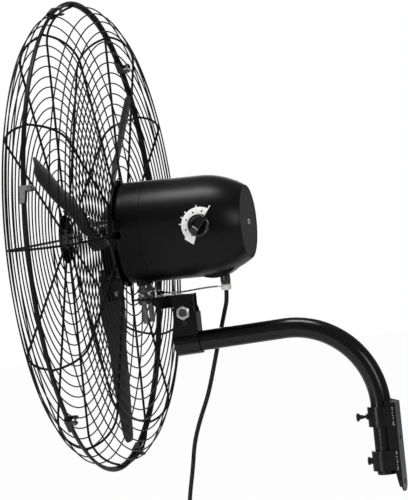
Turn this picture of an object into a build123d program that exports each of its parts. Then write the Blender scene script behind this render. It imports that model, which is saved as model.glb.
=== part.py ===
from build123d import *
import math
import os

# A wall mounted fan: a round wire cage on a barrel shaped motor, tilting on a bent tube arm
# that swivels in a wall bracket. Millimetres. +X is the right-hand side seen from the wall's
# front, +Y points into the wall, +Z is up. The origin is the middle of the wall channel's back.

# ---- where the main things are -------------------------------------------------------------
HEAD_REACH = 496.0        # wall to the plane of the cage's rim
HEAD_RISE = 401.0         # wall channel's middle to the fan's axis
PIVOT_BACK = 146.0        # rim plane back to the tilt bolt
PIVOT_DROP = 144.0        # fan axis down to the tilt bolt
PIVOT_Y = PIVOT_BACK - HEAD_REACH
PIVOT_Z = HEAD_RISE - PIVOT_DROP
HEAD = Pos(0, -HEAD_REACH, HEAD_RISE)
PIVOT = Pos(0, PIVOT_Y, PIVOT_Z)

# ---- fits ----------------------------------------------------------------------------------
FIT = 0.03                # fixed pieces that touch
RUN = 0.08                # radial clearance of a turning fit
WELD_GAP = 0.03           # wires that lie against each other
SEAT = 0.3                # faces that pass each other

# ---- wall bracket --------------------------------------------------------------------------
CHANNEL_WIDTH = 44.0
CHANNEL_HEIGHT = 158.0
CHANNEL_SHEET = 3.0
CHANNEL_DEPTH = 18.0
CHANNEL_TAPER = 80.0      # height of the flanges' slanted foot
CHANNEL_FOOT_DEPTH = 4.5
CHANNEL_FOOT_R = 19.0     # its rounded lower corners
CHANNEL_TOP_FALL = 6.0    # from the top's front edge down to the wall
TUBE_CLEAR = 3.0          # round the tube at the channel's closed top
WALL_BOLT_R = 4.5
WALL_BOLT_Z = (12.5, -62.0)
TUBE_WALL = 28.0          # tube axis to the wall
COLLAR_R = 24.0
COLLAR_HEIGHT = 34.0
UPPER_COLLAR_Z = 51.5
LOWER_COLLAR_Z = -24.0
CHEEK_SHEET = 2.0         # plates outside the flanges, in line with the collars
CHEEK_FRONT = 6.0         # from the tube's axis towards the wall
CHEEK_WALL = 6.0          # their back edge to the wall
THUMB_SHANK_R = 3.0
THUMB_HEAD_R = 7.0
THUMB_HEAD_H = 4.4
THUMB_LENGTH = 21.0       # under the head
UPPER_THUMB_OUT = 15.4    # head's underside to the collar
LOWER_THUMB_OUT = 3.4
SWIVEL_LIMIT = 45.0       # degrees each way
SLOT_PLAY = 0.3

# ---- arm -----------------------------------------------------------------------------------
TUBE_R = 17.5
TUBE_SHEET = 2.5
ARM_BEND_CLEAR = 0.5      # the bend starts this far above the upper collar
ARM_RISE_ANGLE = 3.3      # degrees, from the clevis towards the wall
TUBE_END_Z = -46.4
SOCKET_DROP = 53.0        # tilt bolt down to the socket's axis
SOCKET_LENGTH = 44.0
SOCKET_SHEET = 3.5
EAR_INSIDE = 12.4         # half the gap between the clevis ears
EAR_SHEET = 4.0
EAR_R = 19.5
WEB_FROM = 18.8           # the clevis's back web, behind the tilt bolt
WEB_SHEET = 2.5
WEB_DROP = 1.0            # its top edge, below the bolt
BOLT_R = 7.0
NUT_ACROSS = 22.0
NUT_HEIGHT = 8.0
BOLT_END = 3.0
WASHER_R = 13.0
WASHER_H = 2.0
LOCK_SCREW_R = 3.0
LOCK_SCREW_DROP = 17.5

# ---- neck bracket and studs ----------------------------------------------------------------
NECK_TOP = 31.0           # above the tilt bolt
NECK_SHEET = 3.2
NECK_FRONT = -84.0        # ahead of the tilt bolt
NECK_SKIRT_FROM = -49.0   # where the side skirts begin
NECK_SKIRT_CUT = 11.0     # their slanted front corner
NECK_BACK = 16.5
NECK_STEP = -24.0         # where the wide front part ends
NECK_FRONT_HALF = 37.0
NECK_SKIRT = 21.0
TONGUE_R = 18.0
TONGUE_OUT = EAR_INSIDE - SEAT
STUD_R = 5.0
STUD_X = 22.0
STUD_Y = 79.0             # behind the rim plane
STUD_TOP = -81.0          # below the fan axis
STUD_BOTTOM = -157.0
STUD_NUT_ACROSS = 16.0
STUD_NUT_H = 6.5
STUD_WASHER_R = 10.0
STUD_WASHER_H = 1.6

# ---- cage ----------------------------------------------------------------------------------
RIM_R = 401.7             # the front rim wire
RIM_NEST = 3.4            # the rear rim wire is that much larger
RIM_WIRE_R = 2.1
RIM_HALF_GAP = 1.26       # rim plane to each rim wire's centre
RIB_COUNT = 12
RIB_R = 2.0
SPIRAL_R = 1.2            # the wire wound on the outside of the ribs
SPIRAL_PITCH = 18.0
FRONT_SPIRAL_FROM = 48.8  # along a rib, from the fan's axis
REAR_SPIRAL_FROM = 97.5
FRONT_SPIRAL_LEAST = 14.0  # where it stops, from the rim plane
REAR_SPIRAL_LEAST = 22.0
FRONT_KNEE_R = 61.0
REAR_KNEE_R = 66.0
FRONT_DEPTH = 51.0        # rim plane to the front ribs
REAR_DEPTH = 53.3
FRONT_RIB_END = 0.5       # rim plane to the end of each rib
REAR_RIB_END = 1.0
FRONT_RIB_START = 20.0
REAR_RIB_START = 56.0
BADGE_R = 42.0
BADGE_RISE = 7.0
CLIP_COUNT = 6
CLIP_FIRST = 13.0
CLIP_SHEET = 1.5
CLIP_SCREW_R = 2.0
CLIP_WIDTH = 24.0
CLIP_TAB_WIDTH = 11.0
CLIP_TAB = 17.0           # how far the tab stands behind the rim plane

# ---- motor housing -------------------------------------------------------------------------
BELL_R = 87.0
BELL_WALL = 4.5
BELL_FRONT = 56.2
BELL_BACK = 100.5
BELL_FACE = 4.0
BELL_EDGE = 6.0
WINDOW_LENGTH = 8.0
WINDOW_WIDTH = 12.0
SEAM = 0.5
SHELL_WALL = 2.5
SHELL_STRAIGHT = 195.0    # where the barrel begins to draw in
SHELL_BACK = 272.0
SHELL_BACK_R = 62.6
CAP_R = 59.5
CAP_SHEET = 3.0
CAP_SCREW_R = 2.5
CAP_SCREW_HEAD_R = 4.6
MOUNT_PLATE_R = 92.0
MOUNT_PLATE_HOLE = 32.0
MOUNT_PLATE_SHEET = 2.0
BOSS_R = 6.0
BOSS_PITCH_R = 70.0
BOSS_ANGLE = 45.0
SCREW_R = 2.5

# ---- motor inside --------------------------------------------------------------------------
SHAFT_R = 7.5
SHAFT_FRONT = -24.0
SHAFT_BACK = 158.0
BEARING_R = 17.5
BEARING_W = 11.0
RACE = 3.4                # thickness of each bearing race
BEARING_FRONT_Y = 60.5
BEARING_BACK_Y = 146.0
BALL_COUNT = 8
BALL_R = 2.9
STATOR_BORE = 45.5
STATOR_FRONT = 80.0
STATOR_BACK = 126.0
AIR_GAP = 0.5
WINDING_IN = 50.0
WINDING_OUT = 70.5
WINDING_H = 11.0
SHIELD_BACK = 150.0
SHIELD_SHEET = 5.0
TIE_R = 76.5
TIE_ANGLE = 22.5
CAN_X, CAN_Z = -48.0, 6.0
CAN_SIZE = (28.0, 50.0, 44.0)

# ---- speed control -------------------------------------------------------------------------
DIAL_Y = 206.2
DIAL_Z = 4.0
KNOB_R = 19.0
KNOB_SKIRT = 5.0
KNOB_HEIGHT = 17.0
GRIP_HALF = 5.8
GRIP_CREASE = 4.5         # from the knob's axis to where the grip slopes down
SPINDLE_R = 3.0
BUSH_R = 5.0
POINTER_ANGLE = 230.0     # where the knob points at rest, seen from +X, from +Y towards +Z
SCALE_IN = 19.4
SCALE_OUT = 31.0
SCALE_FROM = 58.0
SCALE_TO = 214.0
SCALE_TIP = 246.5         # the point of the arrowhead at its end
SCALE_PRINT = 0.3
SCALE_DOTS = 24.0
SCALE_MARK = 3.6          # the marks' length outside the band
SWITCH_SIZE = (22.0, 30.0, 30.0)

# ---- rotor ---------------------------------------------------------------------------------
BLADE_COUNT = 3
BLADE_FIRST = 23.0        # degrees from +X towards +Z
BLADE_ROOT = 58.0
BLADE_TIP = 368.0
BLADE_SHEET = 2.0
CHORD_ROOT, CHORD_TIP = 72.0, 44.0
PITCH_ROOT, PITCH_TIP = 25.0, 7.0
MID_Y_ROOT, MID_Y_TIP = 11.0, 4.0
BLADE_SWEEP = -11.0
CAMBER = 0.09
HUB_R = 26.0
HUB_FRONT, HUB_BACK = -8.0, 26.0
ARM_SHEET = 3.0
ARM_REACH = 116.0
ARM_SHARE = 0.5           # part of the blade's chord that an arm covers
RIVET_R = 3.0
RIVET_HEAD_R = 5.0
RIVET_HEAD_H = 2.0

# ---- cord ----------------------------------------------------------------------------------
CORD_R = 3.75
GLAND_Y = 221.0           # behind the rim plane
SADDLE_HALF = 20.0
SADDLE_FROM, SADDLE_TO = 188.0, 248.5
SADDLE_BOTTOM = -88.8
SADDLE_END = -72.0
GLAND_R = 8.5
GLAND_BOTTOM = -103.0
CLAMP_H = 10.0
TETHER_R = 1.5
# chosen by hand: x, then y and z from the middle of the rim
CORD_ROUTE = [
    (0, 221, -97), (0, 221, -126), (-15, 210, -150), (-29.5, 198.5, -176), (-29.5, 187, -212),
    (-29.5, 175, -252), (-29.5, 161.5, -294), (-29.5, 143, -334), (-29.5, 128.5, -374),
    (-29.5, 121.5, -416), (-29.5, 111.5, -460), (-29.5, 105.5, -499), (-29.5, 105, -531),
]
COIL_ENTRY = (-29.5, 105.0, -540.0)
COIL_LAYER = 9.0          # from one layer to the next
COIL_STEP = 4.7           # the radius changes by this in each half turn
COIL_OUTER = 51.0
COIL_LAYERS = 4
LAYER_HALF_TURNS = 4
COIL_TAIL = 44.0
TIE_WIDTH = 12.0
TIE_SHEET = 1.5
TIE_SLACK = 0.3
PLUG_W, PLUG_D, PLUG_H = 26.0, 24.0, 40.0
PLUG_NECK = 16.0
PIN_SPACING = 12.7
PIN_R = 2.4

os.makedirs("parts", exist_ok=True)


# ---- helpers -------------------------------------------------------------------------------
def save(name, *solids):
    """Writes one sub-part, of one solid or of several like ones."""
    shape = solids[0] if len(solids) == 1 else Compound(children=list(solids))
    shape.label = name
    export_step(shape, f"parts/{name}.step")


def rod(radius, start, end):
    """A round bar from one point to another."""
    start, end = Vector(*start), Vector(*end)
    plane = Plane(origin=start, z_dir=end - start)
    return extrude(plane * Circle(radius), amount=(end - start).length)


def pipe(outer, inner, start, end):
    return rod(outer, start, end) - rod(inner, start, end)


def hexagon(across, start, end):
    """A hexagonal bar, across its flats."""
    start, end = Vector(*start), Vector(*end)
    plane = Plane(origin=start, z_dir=end - start)
    return extrude(plane * RegularPolygon(across / 2, 6, major_radius=False), amount=(end - start).length)


def block(low, high):
    """A box between two corners."""
    size = [h - l for l, h in zip(low, high)]
    middle = [(h + l) / 2 for l, h in zip(low, high)]
    return Pos(*middle) * Box(*size)


def turned(points):
    """A solid of revolution about Y from an outline of (radius, y) points."""
    return revolve(make_face(Polyline(*points, close=True)), axis=Axis.Y)


def around(angle):
    """Turns about the fan's axis, from +X towards +Z."""
    return Rot(0, -angle, 0)


def swept(path, radius):
    return sweep(Plane(origin=path @ 0, z_dir=path % 0) * Circle(radius), path=path)


def solid_of(shape):
    """The one solid that a cut or a join leaves."""
    found = shape.solids()
    return max(found, key=lambda s: s.volume)


# ---- wall bracket --------------------------------------------------------------------------
def collar_at(z, thumb_r):
    """A ring that the tube turns in, with a tapped hole for its thumbscrew at the front."""
    ring = pipe(COLLAR_R, TUBE_R + RUN, (0, -TUBE_WALL, z - COLLAR_HEIGHT / 2),
                (0, -TUBE_WALL, z + COLLAR_HEIGHT / 2))
    return ring - rod(thumb_r, (0, -TUBE_WALL, z), (0, -TUBE_WALL - 2 * COLLAR_R, z))


def wall_channel():
    """A channel with its web on the wall, a closed top and flanges that slant at the foot."""
    half, top = CHANNEL_WIDTH / 2, CHANNEL_HEIGHT / 2

    def top_at(y):
        return top - CHANNEL_TOP_FALL * (1 + y / CHANNEL_DEPTH)

    side = Polyline((0, top_at(0)), (-CHANNEL_DEPTH, top), (-CHANNEL_DEPTH, CHANNEL_TAPER - top),
                    (-CHANNEL_FOOT_DEPTH, -top), (0, -top), close=True)
    body = extrude(Plane.YZ * make_face(side), amount=half, both=True)
    body = fillet(body.edges().filter_by(Axis.Y).group_by(Axis.Z)[0], CHANNEL_FOOT_R)
    back, front = -CHANNEL_SHEET, -CHANNEL_DEPTH * 2
    hollow = Polyline((back, -top - 1), (back, top_at(back) - CHANNEL_SHEET), (front, top_at(front) - CHANNEL_SHEET),
                      (front, -top - 1), close=True)
    body -= extrude(Plane.YZ * make_face(hollow), amount=half - CHANNEL_SHEET, both=True)
    for z in (UPPER_COLLAR_Z, LOWER_COLLAR_Z):
        for side in (-1, 1):
            near, far = sorted((side * (half - CHANNEL_SHEET / 2), side * (half + CHEEK_SHEET)))
            body += block((near, CHEEK_FRONT - TUBE_WALL, z - COLLAR_HEIGHT / 2),
                          (far, -CHEEK_WALL, z + COLLAR_HEIGHT / 2))
        body -= rod(COLLAR_R + FIT, (0, -TUBE_WALL, z - COLLAR_HEIGHT / 2 - FIT),
                    (0, -TUBE_WALL, z + COLLAR_HEIGHT / 2 + FIT))
    body -= rod(TUBE_R + TUBE_CLEAR, (0, -TUBE_WALL, 0), (0, -TUBE_WALL, top + 1))
    for z in WALL_BOLT_Z:
        body -= rod(WALL_BOLT_R, (0, 1, z), (0, -CHANNEL_SHEET - 1, z))
    return solid_of(body)


def thumbscrew(z, out):
    """A screw with a flat round head on a tapered neck, its tip towards the tube."""
    face = -TUBE_WALL - COLLAR_R
    under = face - out
    screw = rod(THUMB_SHANK_R - RUN, (0, under, z), (0, under + THUMB_LENGTH, z))
    head = rod(THUMB_HEAD_R, (0, under - THUMB_HEAD_H, z), (0, under - THUMB_HEAD_H / 2, z))
    neck = Pos(0, under, z) * Rot(90, 0, 0) * Cone(THUMB_SHANK_R, THUMB_HEAD_R - 1, THUMB_HEAD_H / 2,
                                                   align=(Align.CENTER, Align.CENTER, Align.MIN))
    return solid_of(screw + neck + head)


# ---- arm -----------------------------------------------------------------------------------
ARM_SLOPE = math.tan(math.radians(ARM_RISE_ANGLE))
ARM_CORNER_Z = PIVOT_Z - SOCKET_DROP + ARM_SLOPE * (-TUBE_WALL - PIVOT_Y)
SOCKET_AXIS = Vector(0, math.cos(math.radians(ARM_RISE_ANGLE)), math.sin(math.radians(ARM_RISE_ANGLE)))
SOCKET_MIDDLE = Vector(0, PIVOT_Y, PIVOT_Z - SOCKET_DROP)
OUTER_EAR = EAR_INSIDE + EAR_SHEET


def arm_path():
    """From the clevis, bent down into the collars: the bend ends just above the upper one."""
    start = SOCKET_MIDDLE - SOCKET_AXIS * (SOCKET_LENGTH / 2 - 1)
    corner = (0, -TUBE_WALL, ARM_CORNER_Z)
    bend_end = UPPER_COLLAR_Z + COLLAR_HEIGHT / 2 + ARM_BEND_CLEAR
    bend_r = (ARM_CORNER_Z - bend_end) / math.tan(math.radians(90 + ARM_RISE_ANGLE) / 2)
    return FilletPolyline(start, corner, (0, -TUBE_WALL, TUBE_END_Z), radius=bend_r)


def arm_tube():
    """The bent tube, with a slot that the lower thumbscrew's tip runs in."""
    path = arm_path()
    section = Plane(origin=path @ 0, z_dir=path % 0) * (Circle(TUBE_R) - Circle(TUBE_R - TUBE_SHEET))
    tube = sweep(section, path=path)
    slot_half = THUMB_SHANK_R + SLOT_PLAY
    reach = TUBE_R * 2
    spread = math.radians(SWIVEL_LIMIT) + math.asin(slot_half / (TUBE_R - TUBE_SHEET))
    edge = [(reach * math.sin(spread * s), -TUBE_WALL - reach * math.cos(spread * s)) for s in (-1, 1)]
    wedge = make_face(Polyline((0, -TUBE_WALL), edge[0], (0, -TUBE_WALL - reach * 1.5), edge[1], close=True))
    slot = Pos(0, 0, LOWER_COLLAR_Z - slot_half) * extrude(wedge, amount=2 * slot_half)
    return solid_of(tube - slot)


def arm_end_cap():
    """A plug in the tube's lower end."""
    lip = rod(TUBE_R - 0.5, (0, -TUBE_WALL, TUBE_END_Z - 2), (0, -TUBE_WALL, TUBE_END_Z - FIT))
    stem = rod(TUBE_R - TUBE_SHEET - FIT, (0, -TUBE_WALL, TUBE_END_Z - 1), (0, -TUBE_WALL, TUBE_END_Z + 8))
    return solid_of(fillet(lip.edges().group_by(Axis.Z)[0], 1.0) + stem)


def tilt_clevis():
    """A sleeve on the tube's end with two ears up to the tilt bolt."""
    front = SOCKET_MIDDLE - SOCKET_AXIS * (SOCKET_LENGTH / 2)
    back = SOCKET_MIDDLE + SOCKET_AXIS * (SOCKET_LENGTH / 2)
    sleeve = rod(TUBE_R + SOCKET_SHEET, front, back)
    foot = SOCKET_LENGTH / 2 - 0.5
    ears = None
    for side in (-1, 1):
        plane = Plane(origin=(side * EAR_INSIDE if side > 0 else -EAR_INSIDE - EAR_SHEET, PIVOT_Y, PIVOT_Z),
                      x_dir=(0, 1, 0), z_dir=(1, 0, 0))
        outline = make_face(Polyline((-EAR_R, 0), (-foot, -SOCKET_DROP), (foot, -SOCKET_DROP), (EAR_R, 0),
                                     close=True)) + Circle(EAR_R)
        ear = extrude(plane * outline, amount=EAR_SHEET)
        ears = ear if ears is None else ears + ear
    web = PIVOT * block((-OUTER_EAR, WEB_FROM, -SOCKET_DROP), (OUTER_EAR, WEB_FROM + WEB_SHEET, -WEB_DROP))
    body = sleeve + ears + web
    body -= rod(TUBE_R + FIT, front + SOCKET_AXIS, back + SOCKET_AXIS)
    body -= rod(BOLT_R + FIT, (-50, PIVOT_Y, PIVOT_Z), (50, PIVOT_Y, PIVOT_Z))
    lock_z = PIVOT_Z - LOCK_SCREW_DROP
    body -= rod(LOCK_SCREW_R, (EAR_INSIDE - 1, PIVOT_Y, lock_z), (EAR_INSIDE + EAR_SHEET + 1, PIVOT_Y, lock_z))
    return solid_of(body)


def lock_screw():
    """A small cross-head screw in the near ear, under the bolt."""
    z = PIVOT_Z - LOCK_SCREW_DROP
    face = EAR_INSIDE + EAR_SHEET
    shank = rod(LOCK_SCREW_R - FIT, (EAR_INSIDE, PIVOT_Y, z), (face + 1, PIVOT_Y, z))
    head = rod(LOCK_SCREW_R * 1.5, (face + FIT, PIVOT_Y, z), (face + 2, PIVOT_Y, z))
    head = fillet(head.edges().group_by(Axis.X)[-1], 0.8)
    cross = block((face + 1.2, PIVOT_Y - 2.2, z - 0.4), (face + 3, PIVOT_Y + 2.2, z + 0.4))
    cross += block((face + 1.2, PIVOT_Y - 0.4, z - 2.2), (face + 3, PIVOT_Y + 0.4, z + 2.2))
    return solid_of(shank + head - cross)


NUT_FACE = OUTER_EAR + FIT + WASHER_H + FIT


def tilt_bolt():
    shank = rod(BOLT_R, (-NUT_FACE - 1, PIVOT_Y, PIVOT_Z), (NUT_FACE + NUT_HEIGHT + BOLT_END, PIVOT_Y, PIVOT_Z))
    shank = chamfer(shank.edges().group_by(Axis.X)[-1], 1.0)
    head = hexagon(NUT_ACROSS, (-NUT_FACE, PIVOT_Y, PIVOT_Z), (-NUT_FACE - NUT_HEIGHT, PIVOT_Y, PIVOT_Z))
    return solid_of(shank + head)


def tilt_nut():
    nut = hexagon(NUT_ACROSS, (NUT_FACE, PIVOT_Y, PIVOT_Z), (NUT_FACE + NUT_HEIGHT, PIVOT_Y, PIVOT_Z))
    crown = PIVOT * Pos(NUT_FACE + NUT_HEIGHT / 2, 0, 0) * Rot(0, 90, 0) * Cone(
        NUT_ACROSS * 0.62, NUT_ACROSS * 0.5, NUT_HEIGHT, align=(Align.CENTER, Align.CENTER, Align.CENTER))
    nut = nut & crown
    return solid_of(nut - rod(BOLT_R + FIT, (0, PIVOT_Y, PIVOT_Z), (60, PIVOT_Y, PIVOT_Z)))


def tilt_washers():
    made = []
    for side in (-1, 1):
        made.append(pipe(WASHER_R, BOLT_R + FIT, (side * (OUTER_EAR + FIT), PIVOT_Y, PIVOT_Z),
                         (side * (OUTER_EAR + FIT + WASHER_H), PIVOT_Y, PIVOT_Z)))
    return made


# ---- neck bracket, studs -------------------------------------------------------------------
def neck_bracket():
    """Bent sheet: a top plate, side skirts, and tongues that turn on the tilt bolt."""
    out, sheet = TONGUE_OUT, NECK_SHEET
    low = NECK_TOP - sheet
    wide = NECK_FRONT_HALF
    body = block((-wide, NECK_FRONT, low), (wide, NECK_STEP, NECK_TOP))
    body += block((-out, NECK_STEP - 1, low), (out, NECK_BACK, NECK_TOP))
    for side in (-1, 1):
        skirt = [(side * wide, NECK_SKIRT_FROM), (side * (wide - sheet), NECK_SKIRT_FROM),
                 (side * (wide - sheet), NECK_STEP - 14), (side * (out - sheet), NECK_STEP),
                 (side * (out - sheet), NECK_BACK), (side * out, NECK_BACK), (side * out, NECK_STEP + 1),
                 (side * wide, NECK_STEP - 13)]
        body += Pos(0, 0, NECK_TOP - NECK_SKIRT) * extrude(make_face(Polyline(*skirt, close=True)),
                                                           amount=NECK_SKIRT)
        cut = Polyline((side * wide, NECK_STEP - 13), (side * out, NECK_STEP + 1), (side * wide, NECK_STEP + 1),
                       close=True)
        body -= Pos(0, 0, low - 1) * extrude(make_face(cut), amount=sheet + 2)
        plane = Plane(origin=(out if side > 0 else sheet - out, 0, 0), x_dir=(0, 1, 0), z_dir=(1, 0, 0))
        tongue = make_face(Polyline((-TONGUE_R, 0), (-TONGUE_R, NECK_TOP), (TONGUE_R, NECK_TOP), (TONGUE_R, 0),
                                    close=True)) + Circle(TONGUE_R)
        body += extrude(plane * tongue, amount=-sheet)
    foot = NECK_TOP - NECK_SKIRT
    slant = make_face(Polyline((NECK_SKIRT_FROM - 1, foot - 1), (NECK_SKIRT_FROM - 1, foot + NECK_SKIRT_CUT),
                               (NECK_SKIRT_FROM + NECK_SKIRT_CUT, foot - 1), close=True))
    body -= extrude(Plane.YZ * slant, amount=wide + 1, both=True)
    body -= rod(BOLT_R + RUN, (-50, 0, 0), (50, 0, 0))
    body = PIVOT * body
    for side in (-1, 1):
        body -= HEAD * rod(STUD_R + FIT, (side * STUD_X, STUD_Y, 0), (side * STUD_X, STUD_Y, STUD_BOTTOM))
    return solid_of(body)


FLANGE_TOP = NECK_TOP - PIVOT_DROP          # below the fan axis
FLANGE_LOW = FLANGE_TOP - NECK_SHEET
LUG_H = 1.2
LUG_R = 8.0
LUG_TAIL = STUD_NUT_ACROSS * 0.58 + 2


def stud_levels():
    """Underside of each nut on a stud, and of each washer, below the fan axis."""
    washer_top = FLANGE_TOP + FIT
    nut_low = washer_top + STUD_WASHER_H + FIT
    lug = nut_low + STUD_NUT_H + FIT
    nut_high = lug + LUG_H + FIT
    washer_low = FLANGE_LOW - FIT - STUD_WASHER_H
    nut_under = washer_low - FIT - STUD_NUT_H
    return {"nuts": (nut_low, nut_high, nut_under), "washers": (washer_top, washer_low), "lug": lug}


def mounting_studs():
    return [HEAD * chamfer(rod(STUD_R, (s * STUD_X, STUD_Y, STUD_BOTTOM), (s * STUD_X, STUD_Y, STUD_TOP))
                           .edges().group_by(Axis.Z)[0], 1.0) for s in (-1, 1)]


def stud_nuts():
    made = []
    for side in (-1, 1):
        for low in stud_levels()["nuts"]:
            x = side * STUD_X
            nut = hexagon(STUD_NUT_ACROSS, (x, STUD_Y, low), (x, STUD_Y, low + STUD_NUT_H))
            made.append(HEAD * (nut - rod(STUD_R + FIT, (x, STUD_Y, low - 1), (x, STUD_Y, low + 9))))
    return made


def stud_washers():
    made = []
    for side in (-1, 1):
        for low in stud_levels()["washers"]:
            x = side * STUD_X
            made.append(HEAD * pipe(STUD_WASHER_R, STUD_R + FIT, (x, STUD_Y, low),
                                    (x, STUD_Y, low + STUD_WASHER_H)))
    return made


# ---- cage ----------------------------------------------------------------------------------
RIM_WELD = RIM_WIRE_R + RIB_R + WELD_GAP
SPIRAL_LIFT = RIB_R + SPIRAL_R + WELD_GAP


def guard_shape(sign):
    """Of the front (-1) or the rear (1) guard: its depth, its knee radius and the radius of its flat."""
    if sign < 0:
        depth, knee, end, rim = FRONT_DEPTH, FRONT_KNEE_R, FRONT_RIB_END, RIM_R
    else:
        depth, knee, end, rim = REAR_DEPTH, REAR_KNEE_R, REAR_RIB_END, RIM_R + RIM_NEST
    side = rim - math.sqrt(RIM_WELD ** 2 - (RIM_HALF_GAP - end) ** 2)
    return depth, knee, side - math.sqrt(knee ** 2 - (knee - depth + end) ** 2)


def guard_point(sign, along, lift):
    """Radius and y of the point so far along a rib from the fan's axis, lifted off the rib."""
    depth, knee, flat = guard_shape(sign)
    if along <= flat:
        return along, sign * (depth + lift)
    angle = (along - flat) / (knee + lift)
    return flat + (knee + lift) * math.sin(angle), sign * (depth - knee + (knee + lift) * math.cos(angle))


def half_turn(sign, start, extra, from_gap, to_gap):
    """A half circle of wire between opposite ribs, half a pitch further out at its end."""
    ends = []
    for along, way in ((start, 1), (start + SPIRAL_PITCH / 2, -1)):
        r, y = guard_point(sign, along, SPIRAL_LIFT + extra)
        ends.append(Vector(0, y, way * r))
    first, last = ends
    middle, radius = (first + last) / 2, (first - last).length / 2
    centre_line = Axis(middle, (last - first).cross(Vector(-sign, 0, 0)))
    section = Plane(origin=first, z_dir=(-sign, 0, 0)) * Circle(SPIRAL_R)
    half = revolve(section, axis=centre_line,
                   revolution_arc=180 - math.degrees((from_gap + to_gap) / radius))
    return half.rotate(centre_line, math.degrees(from_gap / radius))


def spiral_turn(sign, start):
    """One turn of the wire that winds outward, clockwise seen from outside its guard."""
    depth, knee, flat = guard_shape(sign)
    extra = (SPIRAL_PITCH / 2) ** 2 / (8 * knee) if start + SPIRAL_PITCH > flat else 0
    first = half_turn(sign, start, extra, WELD_GAP / 2, 0)
    second = Rot(0, 180, 0) * half_turn(sign, start + SPIRAL_PITCH / 2, extra, 0, WELD_GAP / 2)
    return HEAD * solid_of(first + second)


def spiral(sign, start, least):
    """The wire's turns on the flat of the guard, and those that go on round the knee."""
    flat = guard_shape(sign)[2]
    face, side = [], []
    while abs(guard_point(sign, start + SPIRAL_PITCH, SPIRAL_LIFT)[1]) > least:
        (face if start < flat else side).append(spiral_turn(sign, start))
        start += SPIRAL_PITCH
    return face, side


def ribs(sign, start, end):
    """Bent wires from the middle of the guard, round the knee, to the rim."""
    depth, knee, flat = guard_shape(sign)
    last = math.acos((knee - depth + end) / knee)
    centre = depth - knee
    arc = ThreePointArc((flat, sign * depth),
                        (flat + knee * math.sin(last / 2), sign * (centre + knee * math.cos(last / 2))),
                        (flat + knee * math.sin(last), sign * end))
    one = swept(Wire([Line((start, sign * depth), (flat, sign * depth)), arc]), RIB_R)
    return [HEAD * around(i * 360 / RIB_COUNT) * one for i in range(RIB_COUNT)]


def rim_wires():
    """The front guard's rim wire, nested in the rear guard's."""
    return [HEAD * Pos(0, s * RIM_HALF_GAP, 0) * Rot(90, 0, 0) * Torus(r, RIM_WIRE_R)
            for s, r in ((-1, RIM_R), (1, RIM_R + RIM_NEST))]


def guard_badge():
    """The plain domed disc in the middle of the front."""
    base = -(FRONT_DEPTH + RIB_R + WELD_GAP)
    dome_r = (BADGE_R ** 2 + BADGE_RISE ** 2) / (2 * BADGE_RISE)
    arc = ThreePointArc((BADGE_R, base - 1.5), (dome_r * math.sin(math.asin(BADGE_R / dome_r) / 2),
                        base - 1.5 - BADGE_RISE + dome_r * (1 - math.cos(math.asin(BADGE_R / dome_r) / 2))),
                        (0, base - 1.5 - BADGE_RISE))
    lines = Polyline((0, base - 1.5 - BADGE_RISE), (0, base), (BADGE_R, base), (BADGE_R, base - 1.5))
    return HEAD * revolve(make_face([arc, lines]), axis=Axis.Y)


CLIP_IN = math.sqrt((RIM_R - RIM_WIRE_R) ** 2 - CLIP_WIDTH ** 2 / 4) - FIT
CLIP_OUT = RIM_R + RIM_NEST + RIM_WIRE_R + FIT
CLIP_LIP = RIM_HALF_GAP + RIM_WIRE_R + FIT
CLIP_SCREW_Y = CLIP_TAB - CLIP_TAB_WIDTH / 2


def rim_clips():
    """Bent strips that hold the two rim wires together, open towards the rear."""
    half, tab_half = CLIP_WIDTH / 2, CLIP_TAB_WIDTH / 2
    outer = block((CLIP_OUT, -CLIP_LIP - CLIP_SHEET, -half), (CLIP_OUT + CLIP_SHEET, CLIP_LIP, half))
    lip = block((CLIP_IN - CLIP_SHEET, -CLIP_LIP - CLIP_SHEET, -half), (CLIP_OUT + CLIP_SHEET, -CLIP_LIP, half))
    inner = block((CLIP_IN - CLIP_SHEET, -CLIP_LIP - CLIP_SHEET, -half), (CLIP_IN, CLIP_LIP, half))
    top = half
    tabs = block((CLIP_OUT, 0, top - 2 * tab_half), (CLIP_OUT + CLIP_SHEET, CLIP_TAB, top))
    tabs += block((CLIP_IN - CLIP_SHEET, 0, top - 2 * tab_half), (CLIP_IN, CLIP_TAB, top))
    one = outer + lip + inner + tabs
    screw_z = top - tab_half
    one -= rod(CLIP_SCREW_R, (CLIP_IN - 9, CLIP_SCREW_Y, screw_z), (CLIP_OUT + 9, CLIP_SCREW_Y, screw_z))
    one = solid_of(one)
    step = 360 / CLIP_COUNT
    return [HEAD * around(CLIP_FIRST + i * step) * one for i in range(CLIP_COUNT)]


def rim_clip_screws():
    z = CLIP_WIDTH / 2 - CLIP_TAB_WIDTH / 2
    face, back = CLIP_OUT + CLIP_SHEET, CLIP_IN - CLIP_SHEET
    shank = rod(CLIP_SCREW_R - FIT, (back - 3, CLIP_SCREW_Y, z), (face + 1, CLIP_SCREW_Y, z))
    head = rod(CLIP_SCREW_R * 2, (face + FIT, CLIP_SCREW_Y, z), (face + 2.4, CLIP_SCREW_Y, z))
    head = fillet(head.edges().group_by(Axis.X)[-1], 1.0)
    nut = hexagon(CLIP_SCREW_R * 3.5, (back - FIT, CLIP_SCREW_Y, z), (back - 2.6, CLIP_SCREW_Y, z))
    one = solid_of(shank + head + nut)
    step = 360 / CLIP_COUNT
    return [HEAD * around(CLIP_FIRST + i * step) * one for i in range(CLIP_COUNT)]


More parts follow.
